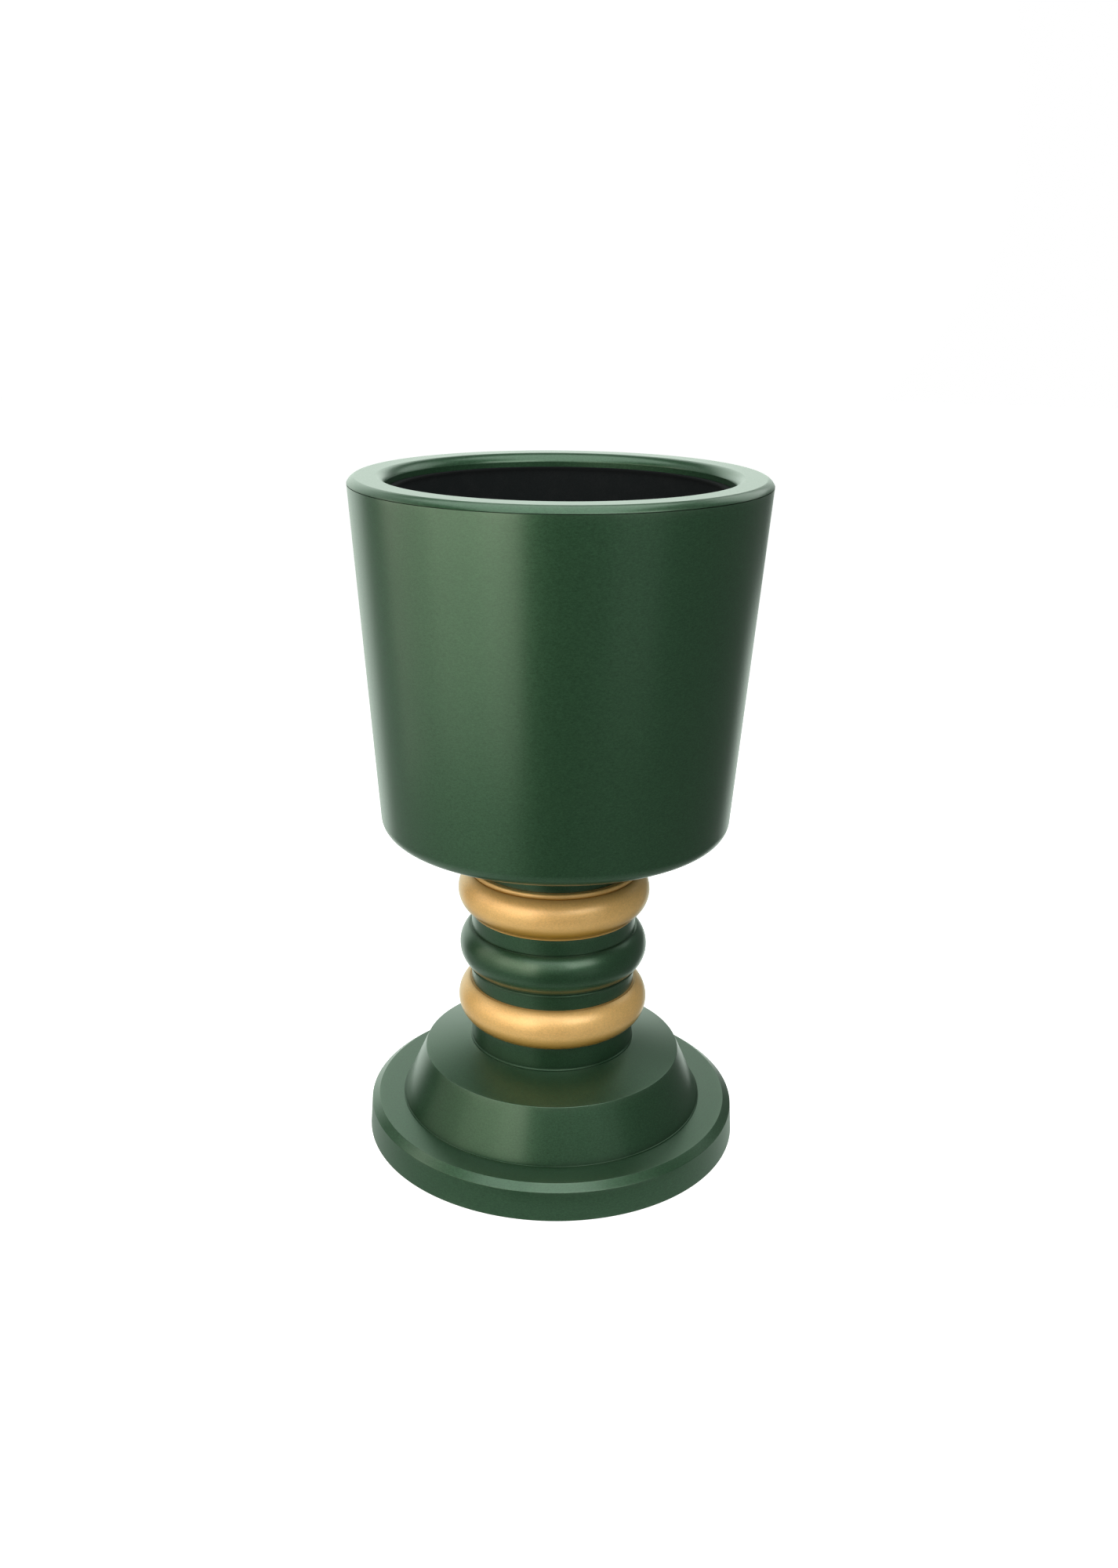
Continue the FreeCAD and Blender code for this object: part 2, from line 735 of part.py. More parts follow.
def head_start(height):
    """Give the distance from the upright axis at which a screw's head sits on the wall, at a height."""
    return f"({liner_radius(height)} + screw_head_gap)"


def radial_bars(name, start, radius, length):
    """Make bars that point outwards, two at each bracket, one above and one below its eye."""
    bars = []
    for spot, angle in enumerate(corner_spots()):
        for side in (-1, 1):
            bar = cylinder(f"{name}_{spot}_{side + 1}", radius, length)
            height = f"hinge_height + {side} * screw_half_pitch"
            turn = FreeCAD.Rotation(UPRIGHT, size(angle)) * FreeCAD.Rotation(ALONG, 90)
            on_circle(bar, start(height), angle, height, turn)
            bars.append(bar)
    return bars


def make_liner():
    """Make the liner pot and the grid that keeps the soil off its drain holes."""
    lip_inner = "liner_top_radius - liner_wall"
    pot_blank = turned("pot_blank", [
        ("0", "liner_bottom"),
        ("liner_floor_radius", "liner_bottom", "liner_corner", LEFT),
        ("liner_base_radius", "liner_corner_height"),
        ("liner_top_radius", "seat_gasket_top"),
        ("liner_lip_radius", "seat_gasket_top"),
        ("liner_lip_radius", "liner_top - liner_lip_chamfer"),
        ("liner_lip_radius - liner_lip_chamfer", "liner_top"),
        (f"{lip_inner} + liner_lip_curve", "liner_top", "liner_lip_curve", LEFT),
        (lip_inner, "liner_top - liner_lip_curve"),
        (lip_inner, "seat_gasket_top"),
        ("liner_base_radius - liner_wall", "liner_corner_height", "liner_corner - liner_wall", RIGHT),
        ("liner_floor_radius", "liner_bottom + liner_wall"),
        ("0", "liner_bottom + liner_wall"),
    ])
    drill(pot_blank, "liner_drain_hole", "liner_drain_circle", LINER_DRAIN_COUNT)
    holes = radial_bars("pot_screw_hole", screw_start, "screw_hole", "screw_drill_length")
    liner_pot = cut("liner_pot", pot_blank, group("pot_screw_holes", holes))

    grid_top = "grid_bottom + grid_height"
    grid_disc = turned("grid_disc", [
        ("0", "grid_bottom"),
        ("grid_radius", "grid_bottom"),
        ("grid_radius", grid_top),
        ("0", grid_top),
    ])
    for circle, count in GRID_RINGS:
        drill(grid_disc, "grid_hole", circle, count)
    legs = []
    for index in range(GRID_LEG_COUNT):
        leg = cylinder(f"grid_leg_{index}", "grid_leg_radius", "grid_bottom - liner_bottom - liner_wall")
        legs.append(on_circle(leg, "grid_leg_circle", 360 * index / GRID_LEG_COUNT,
                              "liner_bottom + liner_wall"))
    drainage_grid = joined("drainage_grid", [grid_disc, *legs])
    return [liner_pot, drainage_grid]


def bar_along_y(name, radius, start, length):
    """Make a cylinder along Y on the hinge line."""
    bar = cylinder(name, radius, length)
    return place(bar, "hinge_reach", start, "hinge_height", FreeCAD.Rotation(ACROSS, -90))


def make_brackets():
    """Make the four eye brackets that hold the handles, and their screws."""
    eye = bar_along_y("bracket_eye", "eye_radius", "eye_start", "eye_length")
    web = primitive("Box", "bracket_web",
                    Length="bracket_stock", Width="eye_length", Height="2 * eye_radius")
    place(web, "hinge_reach", "eye_start", "hinge_height - eye_radius")
    base = primitive("Box", "bracket_base_plate", Length="bracket_stock",
                     Width="eye_length + 2 * bracket_margin", Height="2 * bracket_half_height")
    place(base, "bracket_base", "eye_start - bracket_margin", "hinge_height - bracket_half_height")
    low = "hinge_height - bracket_half_height"
    high = "hinge_height + bracket_half_height"
    inside = primitive("Cone", "space_inside_wall", Height="2 * bracket_half_height",
                       Radius1=f"{liner_radius(low)} - liner_wall - bracket_gap",
                       Radius2=f"{liner_radius(high)} - liner_wall - bracket_gap")
    place(inside, z=low)
    trimmed = doc.addObject("Part::Common", "bracket_trimmed")
    trimmed.Base = joined("bracket_blank", [eye, web, base])
    trimmed.Tool = inside
    eye_hole = bar_along_y("bracket_eye_hole", "eye_hole",
                           "eye_start - eye_drill_margin", "eye_length + 2 * eye_drill_margin")
    holes = radial_bars("bracket_screw_hole", screw_start, "screw_radius + screw_gap", "screw_drill_length")
    bracket = cut("bracket", trimmed, group("bracket_holes", [eye_hole, *holes]))
    far = mirrored("bracket_far", bracket, ALONG)
    left = mirrored("bracket_left", bracket, ACROSS)
    left_far = mirrored("bracket_left_far", far, ACROSS)
    handle_brackets = group("handle_brackets", [bracket, far, left, left_far])

    shanks = radial_bars("screw_shank", screw_start, "screw_radius", "liner_top_radius - screw_depth")
    heads = radial_bars("screw_head", head_start, "screw_head_radius", "screw_head_height")
    screws = [joined(f"bracket_screw_{index}", list(pair)) for index, pair in enumerate(zip(shanks, heads))]
    return [handle_brackets, group("bracket_screws", screws)]


def make_handles():
    """Make the two folding handles: each is a bent rod with a sleeve to grip."""
    bail = doc.addObject("PartDesign::Body", "right_handle_bail")
    section = flat_sketch(bail, "rod_section", "XZ_Plane")
    draw_circle(section, "0", "hinge_height - bail_drop", "rod_radius")
    path = flat_sketch(bail, "rod_path", "YZ_Plane")
    grip_height = "hinge_height - bail_drop"
    draw(path, [
        ("0", grip_height),
        ("bail_half_width - bail_bend", grip_height, "bail_bend", LEFT),
        ("bail_half_width", f"{grip_height} + bail_bend"),
        ("bail_half_width", "hinge_height - eye_bend", "eye_bend", RIGHT),
        ("bail_half_width + eye_bend", "hinge_height"),
        ("bail_end", "hinge_height"),
    ], closed=False)
    rod = bail.newObject("PartDesign::AdditivePipe", "rod")
    rod.Profile = section
    rod.Spine = (path, [])
    doc.recompute()
    planes = {feature.Role: feature for feature in bail.Origin.OriginFeatures}
    both = bail.newObject("PartDesign::Mirrored", "both_halves")
    both.Originals = [rod]
    both.MirrorPlane = (planes["XZ_Plane"], [""])
    bail.Tip = both
    place(bail, x="hinge_reach")

    grip = turned("right_handle_grip", [
        ("grip_bore", "0"),
        ("grip_radius - grip_chamfer", "0"),
        ("grip_radius", "grip_chamfer_length"),
        ("grip_radius", "2 * grip_half_length - grip_chamfer_length"),
        ("grip_radius - grip_chamfer", "2 * grip_half_length"),
        ("grip_bore", "2 * grip_half_length"),
    ])
    place(grip, "hinge_reach", "0 - grip_half_length", grip_height, FreeCAD.Rotation(ACROSS, -90))
    return [bail, grip,
            mirrored("left_handle_bail", bail, ACROSS),
            mirrored("left_handle_grip", grip, ACROSS)]


# ---------------------------------------------------------------- check and write

def check(pieces):
    """Stop if any object failed or any piece has no sound shape."""
    doc.recompute()
    for item in doc.Objects:
        if {"Invalid", "Error"} & set(item.State):
            raise RuntimeError(f"{item.Label} failed: {item.State}")
    for piece in pieces:
        if piece.Shape.isNull() or not piece.Shape.isValid() or not piece.Shape.Solids:
            raise RuntimeError(f"{piece.Label} has no sound shape")


def write(pieces):
    """Write each piece to its own STEP file, named after its label."""
    os.makedirs("parts", exist_ok=True)
    for piece in pieces:
        piece.Shape.exportStep(os.path.join("parts", f"{piece.Label}.step"))
        print(f"{piece.Label}: {len(piece.Shape.Solids)} solids, {piece.Shape.Volume / 1000:.1f} cm3")


PIECES = [
    *make_foot(),
    *make_stem_core(),
    *make_stem_dress(),
    *make_bowl_joint(),
    *make_bowl(),
    *make_drain(),
    *make_liner(),
    *make_brackets(),
    *make_handles(),
]
check(PIECES)
write(PIECES)
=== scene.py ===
"""Goblet planter: the looks of every piece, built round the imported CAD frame.

Metres, +Z up, with the origin on the ground under the middle of the foot; -Y is the front.
Round pieces are turned from closed outlines, and their radii and heights come from the frame.
"""

import json
import math

import bpy
import numpy as np
from mathutils import Matrix, Vector


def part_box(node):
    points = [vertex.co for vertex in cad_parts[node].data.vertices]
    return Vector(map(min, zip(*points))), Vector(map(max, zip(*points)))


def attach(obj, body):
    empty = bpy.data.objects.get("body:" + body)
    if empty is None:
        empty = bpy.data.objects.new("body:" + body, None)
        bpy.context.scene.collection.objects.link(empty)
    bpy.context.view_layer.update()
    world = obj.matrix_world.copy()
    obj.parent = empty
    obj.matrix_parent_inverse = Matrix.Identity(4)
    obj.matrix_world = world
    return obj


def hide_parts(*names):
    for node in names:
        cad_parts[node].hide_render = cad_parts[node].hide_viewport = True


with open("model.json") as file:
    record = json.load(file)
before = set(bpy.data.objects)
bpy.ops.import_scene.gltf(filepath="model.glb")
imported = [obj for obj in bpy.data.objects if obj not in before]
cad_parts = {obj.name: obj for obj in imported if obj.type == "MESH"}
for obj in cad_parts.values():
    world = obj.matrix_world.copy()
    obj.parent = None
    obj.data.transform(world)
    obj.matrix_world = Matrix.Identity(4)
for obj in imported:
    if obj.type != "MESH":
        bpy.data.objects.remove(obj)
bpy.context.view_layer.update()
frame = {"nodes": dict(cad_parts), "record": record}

MM = 0.001

# ---------------------------------------------------------------- sizes inside the frame's boxes

# plinth
FOOT_SIDE_TOP = 45.8 * MM
FOOT_TOP_RADIUS = 279 * MM
LEDGE_RADIUS = 267.5 * MM
PLINTH_BORE = 214 * MM
PLINTH_WALL = 8 * MM
SHOULDER_BORE = 252 * MM
SHOULDER_TOP = 22 * MM
PLATE_GAP = 0.8 * MM
PLINTH_FOOT_ROUND = 1.5 * MM
PLINTH_SIDE_ROUND = 1.0 * MM
LEDGE_ROUND = 0.8 * MM
PLINTH_BORE_ROUND = 0.5 * MM

# cone
CONE_EDGE_RADIUS = 194 * MM
CONE_EDGE_HEIGHT = 131.3 * MM
CONE_LIP = 1.5 * MM
CONE_LIP_TOP = 2.1 * MM
CONE_LIP_ROUND = 0.7 * MM
CONE_EDGE_ROUND = 1.4 * MM
CONE_TOP_RADIUS = 125.5 * MM
CONE_WALL = 3 * MM
CONE_FLANGE_BORE = 206 * MM
SPIGOT_GAP = 0.4 * MM

# stem
SLEEVE_BORE = 109.9 * MM
LIP_RADIUS = 124.6 * MM
BEAD_RADIUS = 126 * MM
BEAD_HEIGHT = 3 * MM
BEAD_HALF = 30 * MM
SLEEVE_ROUND = 0.6 * MM
NECK_FOOT_ROUND = 0.5 * MM
NECK_TOP_ROUND = 0.4 * MM
SMALL_BEAD_ROUND = 0.5 * MM
RING_LIP_ROUND = 0.3 * MM
COLLAR_SWELL = 1.7 * MM
CORE_RADIUS = 130 * MM
CORE_HALF = 20 * MM
CORE_CHAMFER = 6 * MM
LOWER_RING_MIDDLE = 218 * MM
MIDDLE_RING_MIDDLE = 305.5 * MM
UPPER_RING_MIDDLE = 394.5 * MM

# bowl shell
BOWL_WALL = 3 * MM
BOWL_CORNER = 22.7 * MM
BOWL_BOTTOM_RADIUS = 254 * MM
BOWL_WALL_BOTTOM = 514 * MM
DRAIN_HOLE = 26 * MM

# rim, and the ring that the liner hangs on
RIM_BOTTOM = 991 * MM
RIM_OUTER_FLAT = 279.4 * MM
RIM_INNER_FLAT = 250 * MM
RIM_INNER_REACH = 12 * MM
RIM_CURVE = 16 * MM
RIM_SHEET = 3 * MM
RIM_LEG_BOTTOM = 972 * MM
SPIGOT_ROOT_INSET = 3.45 * MM
SPIGOT_OUTER_INSET = 5.1 * MM
SPIGOT_INNER_INSET = 8.1 * MM
SEAT_BORE = 230 * MM
SEAT_SHEET = 2.8 * MM
SEAT_BORE_ROUND = 0.5 * MM
SEAT_HEEL_ROUND = 1.2 * MM
SEAT_TOP_ROUND = 0.4 * MM

# liner pot
LINER_WALL = 3.5 * MM
LINER_CORNER = 18.3 * MM
LINER_BASE_RADIUS = 201.2 * MM
LINER_TOP_RADIUS = 228.6 * MM
LINER_SHOULDER = 974.5 * MM
LINER_SHOULDER_ROUND = 0.5 * MM
LINER_LIP_ROUND = 1.5 * MM
LINER_MOUTH_ROUND = 3 * MM

# ribbed grips
GRIP_BORE = 4.1 * MM
GRIP_COLLAR = 4 * MM
GRIP_END_ROUND = 1.2 * MM
GRIP_COLLAR_ROUND = 0.3 * MM
GRIP_RIBS = 9
GRIP_SEGMENTS = 96
RIB_SWELL = 0.8 * MM

# broken edges of the CAD nodes that still show
WELD_GAP = 0.002 * MM
EDGE_BREAK = 0.35 * MM
EDGE_BREAK_SEGMENTS = 2
EDGE_BREAK_ANGLE = math.radians(35)

# turned meshes
SEGMENTS = 288
ARC_STEP = math.radians(8)
ON_AXIS = 1e-6
# corners that carry wear and a painted highlight (edges) or painted shade (coves): their least bend, how
# far that reaches, and extra spots near them
LEAST_BEND = math.radians(14)
CORNER_REACH = 4 * MM
CORNER_STEPS = (1.2 * MM, 3 * MM, 7 * MM, 15 * MM)

BODIES = frame["record"]["behaviour"]["bodies"]
BODY_OF = {node: body for body, nodes in BODIES.items() for node in nodes}
SLOT_OF = {part["node"]: part["material_slot"] for part in frame["record"]["subparts"]}


def span(node):
    """Give the largest radius, the lowest height and the highest height of a round node."""
    low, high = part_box(node)
    return high.x, low.z, high.z


# ---------------------------------------------------------------- outlines

def facing(angle):
    """Give the unit direction at an angle in the (radius, height) plane."""
    return Vector((math.cos(angle), math.sin(angle)))


def bend_between(first, second):
    """Give the turn from one angle to another, between minus and plus half a turn."""
    return (second - first + math.pi) % (2 * math.pi) - math.pi


class Outline:
    """A closed outline, listed with the solid on its left, as spots that know which way they face.

    A corner is (radius, height), (radius, height, rounding), or (radius, height, 0, swell) where the
    stretch that leaves it is an arc that stands out by swell.
    """

    def __init__(self, corners):
        self.spots = []
        self.marks = {"edge": [], "cove": []}
        self.length = 0.0
        self.corners = [Vector(corner[:2]) for corner in corners]
        self.rounding = [corner[2] if len(corner) > 2 else 0.0 for corner in corners]
        self.swell = [corner[3] if len(corner) > 3 else 0.0 for corner in corners]
        for index in range(len(corners)):
            self.add_corner(index)
            self.add_stretch(index)
        self.length += (self.spots[0][0] - self.spots[-1][0]).length

    def chord(self, index):
        """Give the vector of one stretch."""
        return self.corners[(index + 1) % len(self.corners)] - self.corners[index]

    def half_bend(self, index):
        """Give half the angle that a stretch turns through."""
        half = self.chord(index).length / 2
        return 2 * math.atan2(self.swell[index], half)

    def face(self, index):
        """Give the angle that the middle of a stretch faces."""
        chord = self.chord(index)
        return math.atan2(chord.y, chord.x) - math.pi / 2

    def add(self, place, before, after):
        """Add one spot."""
        if self.spots:
            self.length += (place - self.spots[-1][0]).length
        self.spots.append((place, before, after, self.length))

    def add_corner(self, index):
        """Add a sharp or rounded corner."""
        previous = index - 1
        before = self.face(previous) + self.half_bend(previous)
        after = self.face(index) - self.half_bend(index)
        turn = bend_between(before, after)
        kind = "edge" if turn > 0 else "cove"
        marked = abs(turn) > LEAST_BEND and self.rounding[index] < CORNER_REACH
        if self.rounding[index] == 0:
            self.add(self.corners[index], before, after)
            if marked:
                self.marks[kind].append(self.length)
            return
        side = math.copysign(self.rounding[index], turn)
        start = self.corners[index] - self.chord(previous).normalized() * self.trim(index)
        centre = start - facing(before) * side
        count = max(3, math.ceil(abs(turn) / ARC_STEP))
        for step in range(count + 1):
            angle = before + turn * step / count
            self.add(centre + facing(angle) * side, angle, angle)
        if marked:
            self.marks[kind].append(self.length - self.rounding[index] * abs(turn) / 2)

    def add_stretch(self, index):
        """Add the spots inside a stretch: along its arc, or near the ends of a straight one."""
        start = self.corners[index]
        chord = self.chord(index)
        middle = self.face(index)
        half = self.half_bend(index)
        if self.swell[index]:
            radius = chord.length / 2 / math.sin(half)
            centre = start + chord / 2 - facing(middle) * radius * math.cos(half)
            count = max(4, math.ceil(2 * half / ARC_STEP * 2))
            for step in range(1, count):
                angle = middle - half + 2 * half * step / count
                self.add(centre + facing(angle) * radius, angle, angle)
            return
        first = self.trim(index)
        last = chord.length - self.trim((index + 1) % len(self.corners))
        near = [step for step in CORNER_STEPS if step < (last - first) / 2]
        for distance in [first + step for step in near] + [last - step for step in reversed(near)]:
            self.add(start + chord.normalized() * distance, middle, middle)

    def trim(self, index):
        """Give how far a corner's rounding reaches along its stretches."""
        turn = bend_between(self.face(index - 1), self.face(index))
        return self.rounding[index] * math.tan(abs(turn) / 2)

    def nearness(self, kind):
        """Give, for each spot, 1 at a corner of that kind, falling to 0 away from it."""
        places = np.array([spot[3] for spot in self.spots])
        result = np.zeros(len(places))
        for mark in self.marks[kind]:
            gap = np.abs(places - mark)
            gap = np.minimum(gap, self.length - gap)
            result = np.maximum(result, np.exp(-gap / CORNER_REACH))
        return result


def swell_of(width, height, radius):
    """Give how far an arc of a given radius stands out from its chord."""
    chord = math.hypot(width, height)
    return radius - math.sqrt(radius ** 2 - chord ** 2 / 4)


# ---------------------------------------------------------------- meshes

def mesh_object(name, vertices, faces, normals):
    """Make an object from vertices and faces, with one normal for each corner of each face."""
    mesh = bpy.data.meshes.new(name)
    mesh.from_pydata(vertices, [], faces)
    mesh.update()
    mesh.polygons.foreach_set("use_smooth", [True] * len(mesh.polygons))
    mesh.normals_split_custom_set(normals)
    piece = bpy.data.objects.new(name, mesh)
    bpy.context.scene.collection.objects.link(piece)
    return piece


def lathe(name, corners, segments=SEGMENTS):
    """Turn an outline about the upright axis."""
    shape = Outline(corners)
    angles = np.arange(segments) * (2 * math.pi / segments)
    turns = np.stack([np.cos(angles), np.sin(angles)], axis=1)
    vertices = []
    starts = []
    for place, *_ in shape.spots:
        starts.append(len(vertices))
        if place.x < ON_AXIS:
            vertices.append((0.0, 0.0, place.y))
        else:
            vertices += [(place.x * x, place.x * y, place.y) for x, y in turns]
    faces = []
    normals = []
    for index, low in enumerate(shape.spots):
        following = (index + 1) % len(shape.spots)
        high = shape.spots[following]
        low_pole = low[0].x < ON_AXIS
        high_pole = high[0].x < ON_AXIS
        if low_pole and high_pole:
            continue
        low_face = facing(low[2])
        high_face = facing(high[1])
        for turn in range(segments):
            beside = (turn + 1) % segments
            low_here = starts[index] + (0 if low_pole else turn)
            low_beside = starts[index] + (0 if low_pole else beside)
            high_here = starts[following] + (0 if high_pole else turn)
            high_beside = starts[following] + (0 if high_pole else beside)
            ring = [(low_here, low_face, turn), (low_beside, low_face, beside),
                    (high_beside, high_face, beside), (high_here, high_face, turn)]
            if low_pole:
                ring.pop(1)
            if high_pole:
                ring.pop()
            faces.append([corner[0] for corner in ring])
            normals += [(turns[t][0] * way.x, turns[t][1] * way.x, way.y) for _, way, t in ring]
    piece = mesh_object(name, vertices, faces, normals)
    for kind in ("edge", "cove"):
        values = []
        for spot, value in zip(shape.spots, shape.nearness(kind)):
            values += [value] * (1 if spot[0].x < ON_AXIS else segments)
        attribute = piece.data.attributes.new(kind, "FLOAT", "POINT")
        attribute.data.foreach_set("value", values)
    return piece


# ---------------------------------------------------------------- materials

# the usual range of a noise value; noise scales are in cells for each metre
NOISE_LOW = 0.3
NOISE_HIGH = 0.7

# sockets of the Mix node that carry colours
MIX_FIRST_COLOR = 6
MIX_SECOND_COLOR = 7
MIX_COLOR_RESULT = 2

# how far a face's normal leans up (1) or down (-1) where these looks start and where they are full; the
# underside look is painted shade
UNDERSIDE_LEAN = (-0.05, -0.7)
LEVEL_LEAN = (0.8, 0.97)

# heights between which dust sets in, and how much it roughens the clear coat
DUST_HEIGHT = (0.25, 0.2)
DUST_DULLING = 0.10
# how much of the clear coat the painted shade in coves takes away
COVE_DULLING = 0.85

FINE_BUMP = 0.05 * MM
BUMP_STRENGTH = 0.6
MOTTLE_SHARE = 0.6
FLAKE_SHARE = 0.4

# dust on black plastic: how much of the colour it leaves, and how much light it adds
DUST_FADE = 0.8
DUST_LIFT = 0.006
# painted shade: how much the edges of moulded plastic are darkened
PLASTIC_PAINTED_EDGE_SHADE = 0.85
PLASTIC_UNEVENNESS = 0.06

GREEN_DARK = (0.0295, 0.090, 0.042, 1)
GREEN_LIGHT = (0.0315, 0.093, 0.0435, 1)
# lighter green at edges: partly wear, partly a painted highlight on the rounded edges
GREEN_WEAR_AND_HIGHLIGHT = (0.16, 0.24, 0.17, 1)
# painted shade: darker green for the coves
GREEN_PAINTED_SHADE = (0.010, 0.022, 0.013, 1)

GOLD_DARK = (0.86, 0.52, 0.175, 1)
GOLD_LIGHT = (0.90, 0.56, 0.20, 1)
# painted shade: dark brown for the gold's coves
GOLD_PAINTED_SHADE = (0.12, 0.045, 0.006, 1)
# lighter gold at edges: partly wear, partly a painted highlight on the rounded edges
GOLD_WEAR_AND_HIGHLIGHT = (0.95, 0.64, 0.22, 1)
# painted shade: darker, browner gold for faces that lean down
GOLD_PAINTED_UNDERSIDE_SHADE = (0.42, 0.20, 0.006, 1)

ZINC_DARK = (0.44, 0.46, 0.47, 1)
ZINC_LIGHT = (0.62, 0.64, 0.66, 1)
ZINC_BLOOM = (0.66, 0.67, 0.67, 1)

IRON = (0.09, 0.09, 0.092, 1)
RUST = (0.13, 0.07, 0.04, 1)


class Graph:
    """A shader node tree, built up one node at a time."""

    def __init__(self, tree):
        self.tree = tree

    def add(self, kind, inputs=None, **settings):
        """Add a node, set it up and feed its sockets."""
        node = self.tree.nodes.new("ShaderNode" + kind)
        for key, value in settings.items():
            setattr(node, key, value)
        for key, value in (inputs or {}).items():
            self.feed(node.inputs[key], value)
        return node

    def feed(self, socket, value):
        """Link a socket, or set its value."""
        if isinstance(value, bpy.types.NodeSocket):
            self.tree.links.new(value, socket)
        else:
            socket.default_value = value

    def math(self, operation, *values):
        """Work out one step of arithmetic."""
        return self.add("Math", dict(enumerate(values)), operation=operation).outputs[0]

    def times(self, first, second):
        """Multiply two values."""
        return self.math("MULTIPLY", first, second)

    def plus(self, first, second):
        """Add two values."""
        return self.math("ADD", first, second)

    def split(self, vector):
        """Give the three parts of a vector."""
        return self.add("SeparateXYZ", {0: vector}).outputs

    def vector(self, operation, first, second):
        """Work out one step of arithmetic on vectors."""
        return self.add("VectorMath", {0: first, 1: second}, operation=operation).outputs[0]

    def noise(self, vector, scale, detail=2.0, roughness=0.5, extra=None):
        """Give a noise value between 0 and 1, in three dimensions, or in four with an extra one."""
        inputs = {"Vector": vector, "Scale": scale, "Detail": detail, "Roughness": roughness}
        if extra is not None:
            inputs["W"] = extra
        dimensions = "3D" if extra is None else "4D"
        return self.add("TexNoise", inputs, noise_dimensions=dimensions).outputs["Fac"]

    def ramp(self, value, low, high):
        """Spread a value smoothly from low..high to 0..1."""
        inputs = {"Value": value, "From Min": low, "From Max": high}
        return self.add("MapRange", inputs, interpolation_type="SMOOTHSTEP").outputs["Result"]

    def scaled(self, value, low, high):
        """Spread a noise value from its usual range to low..high."""
        inputs = {"Value": value, "To Min": low, "To Max": high}
        inputs.update({"From Min": NOISE_LOW, "From Max": NOISE_HIGH})
        return self.add("MapRange", inputs).outputs["Result"]

    def mix(self, factor, first, second, blend="MIX"):
        """Mix two colours."""
        node = self.add("Mix", data_type="RGBA", blend_type=blend)
        self.feed(node.inputs["Factor"], factor)
        self.feed(node.inputs[MIX_FIRST_COLOR], first)
        self.feed(node.inputs[MIX_SECOND_COLOR], second)
        return node.outputs[MIX_COLOR_RESULT]

    def shade(self, color, value):
        """Lighten or darken a colour by a value around 1."""
        grey = self.add("CombineXYZ", {0: value, 1: value, 2: value}).outputs[0]
        return self.mix(1.0, color, grey, "MULTIPLY")


class Finish(Graph):
    """A node material, built round its Principled shader."""

    def __init__(self, name, plain):
        self.material = bpy.data.materials.new(name)
        self.material.use_nodes = True
        super().__init__(self.material.node_tree)
        self.shader = self.tree.nodes["Principled BSDF"]
        for socket, value in plain.items():
            self.shader.inputs[socket].default_value = value
        self.place = self.add("TexCoord").outputs["Object"]

    def put(self, socket, value):
        """Feed one of the shader's sockets."""
        self.feed(self.shader.inputs[socket], value)

    def near(self, kind):
        """Give how near a place is to an edge or a cove."""
        return self.add("Attribute", attribute_name=kind).outputs["Fac"]

    def lean(self):
        """Give how far the surface faces up, from -1 to 1."""
        return self.split(self.add("NewGeometry").outputs["Normal"])[2]

    def underside(self):
        """Give how far the surface faces down."""
        return self.ramp(self.lean(), *UNDERSIDE_LEAN)

    def dull_tops(self, plain):
        """Make the clear coat rougher than plain where dust settles on the foot's level faces."""
        height = self.split(self.place)[2]
        level = self.times(self.ramp(self.lean(), *LEVEL_LEAN), self.ramp(height, *DUST_HEIGHT))
        self.put("Coat Roughness", self.plus(self.times(level, DUST_DULLING), plain))

    def dull_coves(self):
        """Take most of the clear coat's gloss away in coves, as painted shade there."""
        painted_cove_shade = self.times(self.near("cove"), COVE_DULLING)
        self.put("Coat Weight", self.math("SUBTRACT", 1.0, painted_cove_shade))

    def bump(self, height, distance, strength):
        """Bump the surface by a height value."""
        node = self.add("Bump", {"Height": height, "Distance": distance, "Strength": strength})
        self.put("Normal", node.outputs["Normal"])

    def fine_bump(self, mottle, flake):
        """Bump the surface by a mottle and a flake noise."""
        height = self.plus(self.times(mottle, MOTTLE_SHARE), self.times(flake, FLAKE_SHARE))
        self.bump(height, FINE_BUMP, BUMP_STRENGTH)

    def grain(self, around, across):
        """Give a fine grain with its own scales around the axis and across it."""
        x, y, z = self.split(self.place)
        flat = self.add("CombineXYZ", {0: x, 1: y, 2: 0.0}).outputs[0]
        radius = self.add("VectorMath", {0: flat}, operation="LENGTH").outputs["Value"]
        way = self.add("VectorMath", {0: flat}, operation="NORMALIZE").outputs[0]
        way = self.vector("MULTIPLY", way, (around, around, around))
        rise = self.add("CombineXYZ", {0: 0.0, 1: 0.0, 2: self.times(z, across)}).outputs[0]
        outward = self.times(radius, across)
        return self.noise(self.vector("ADD", way, rise), 1.0, 3.0, 0.6, outward)


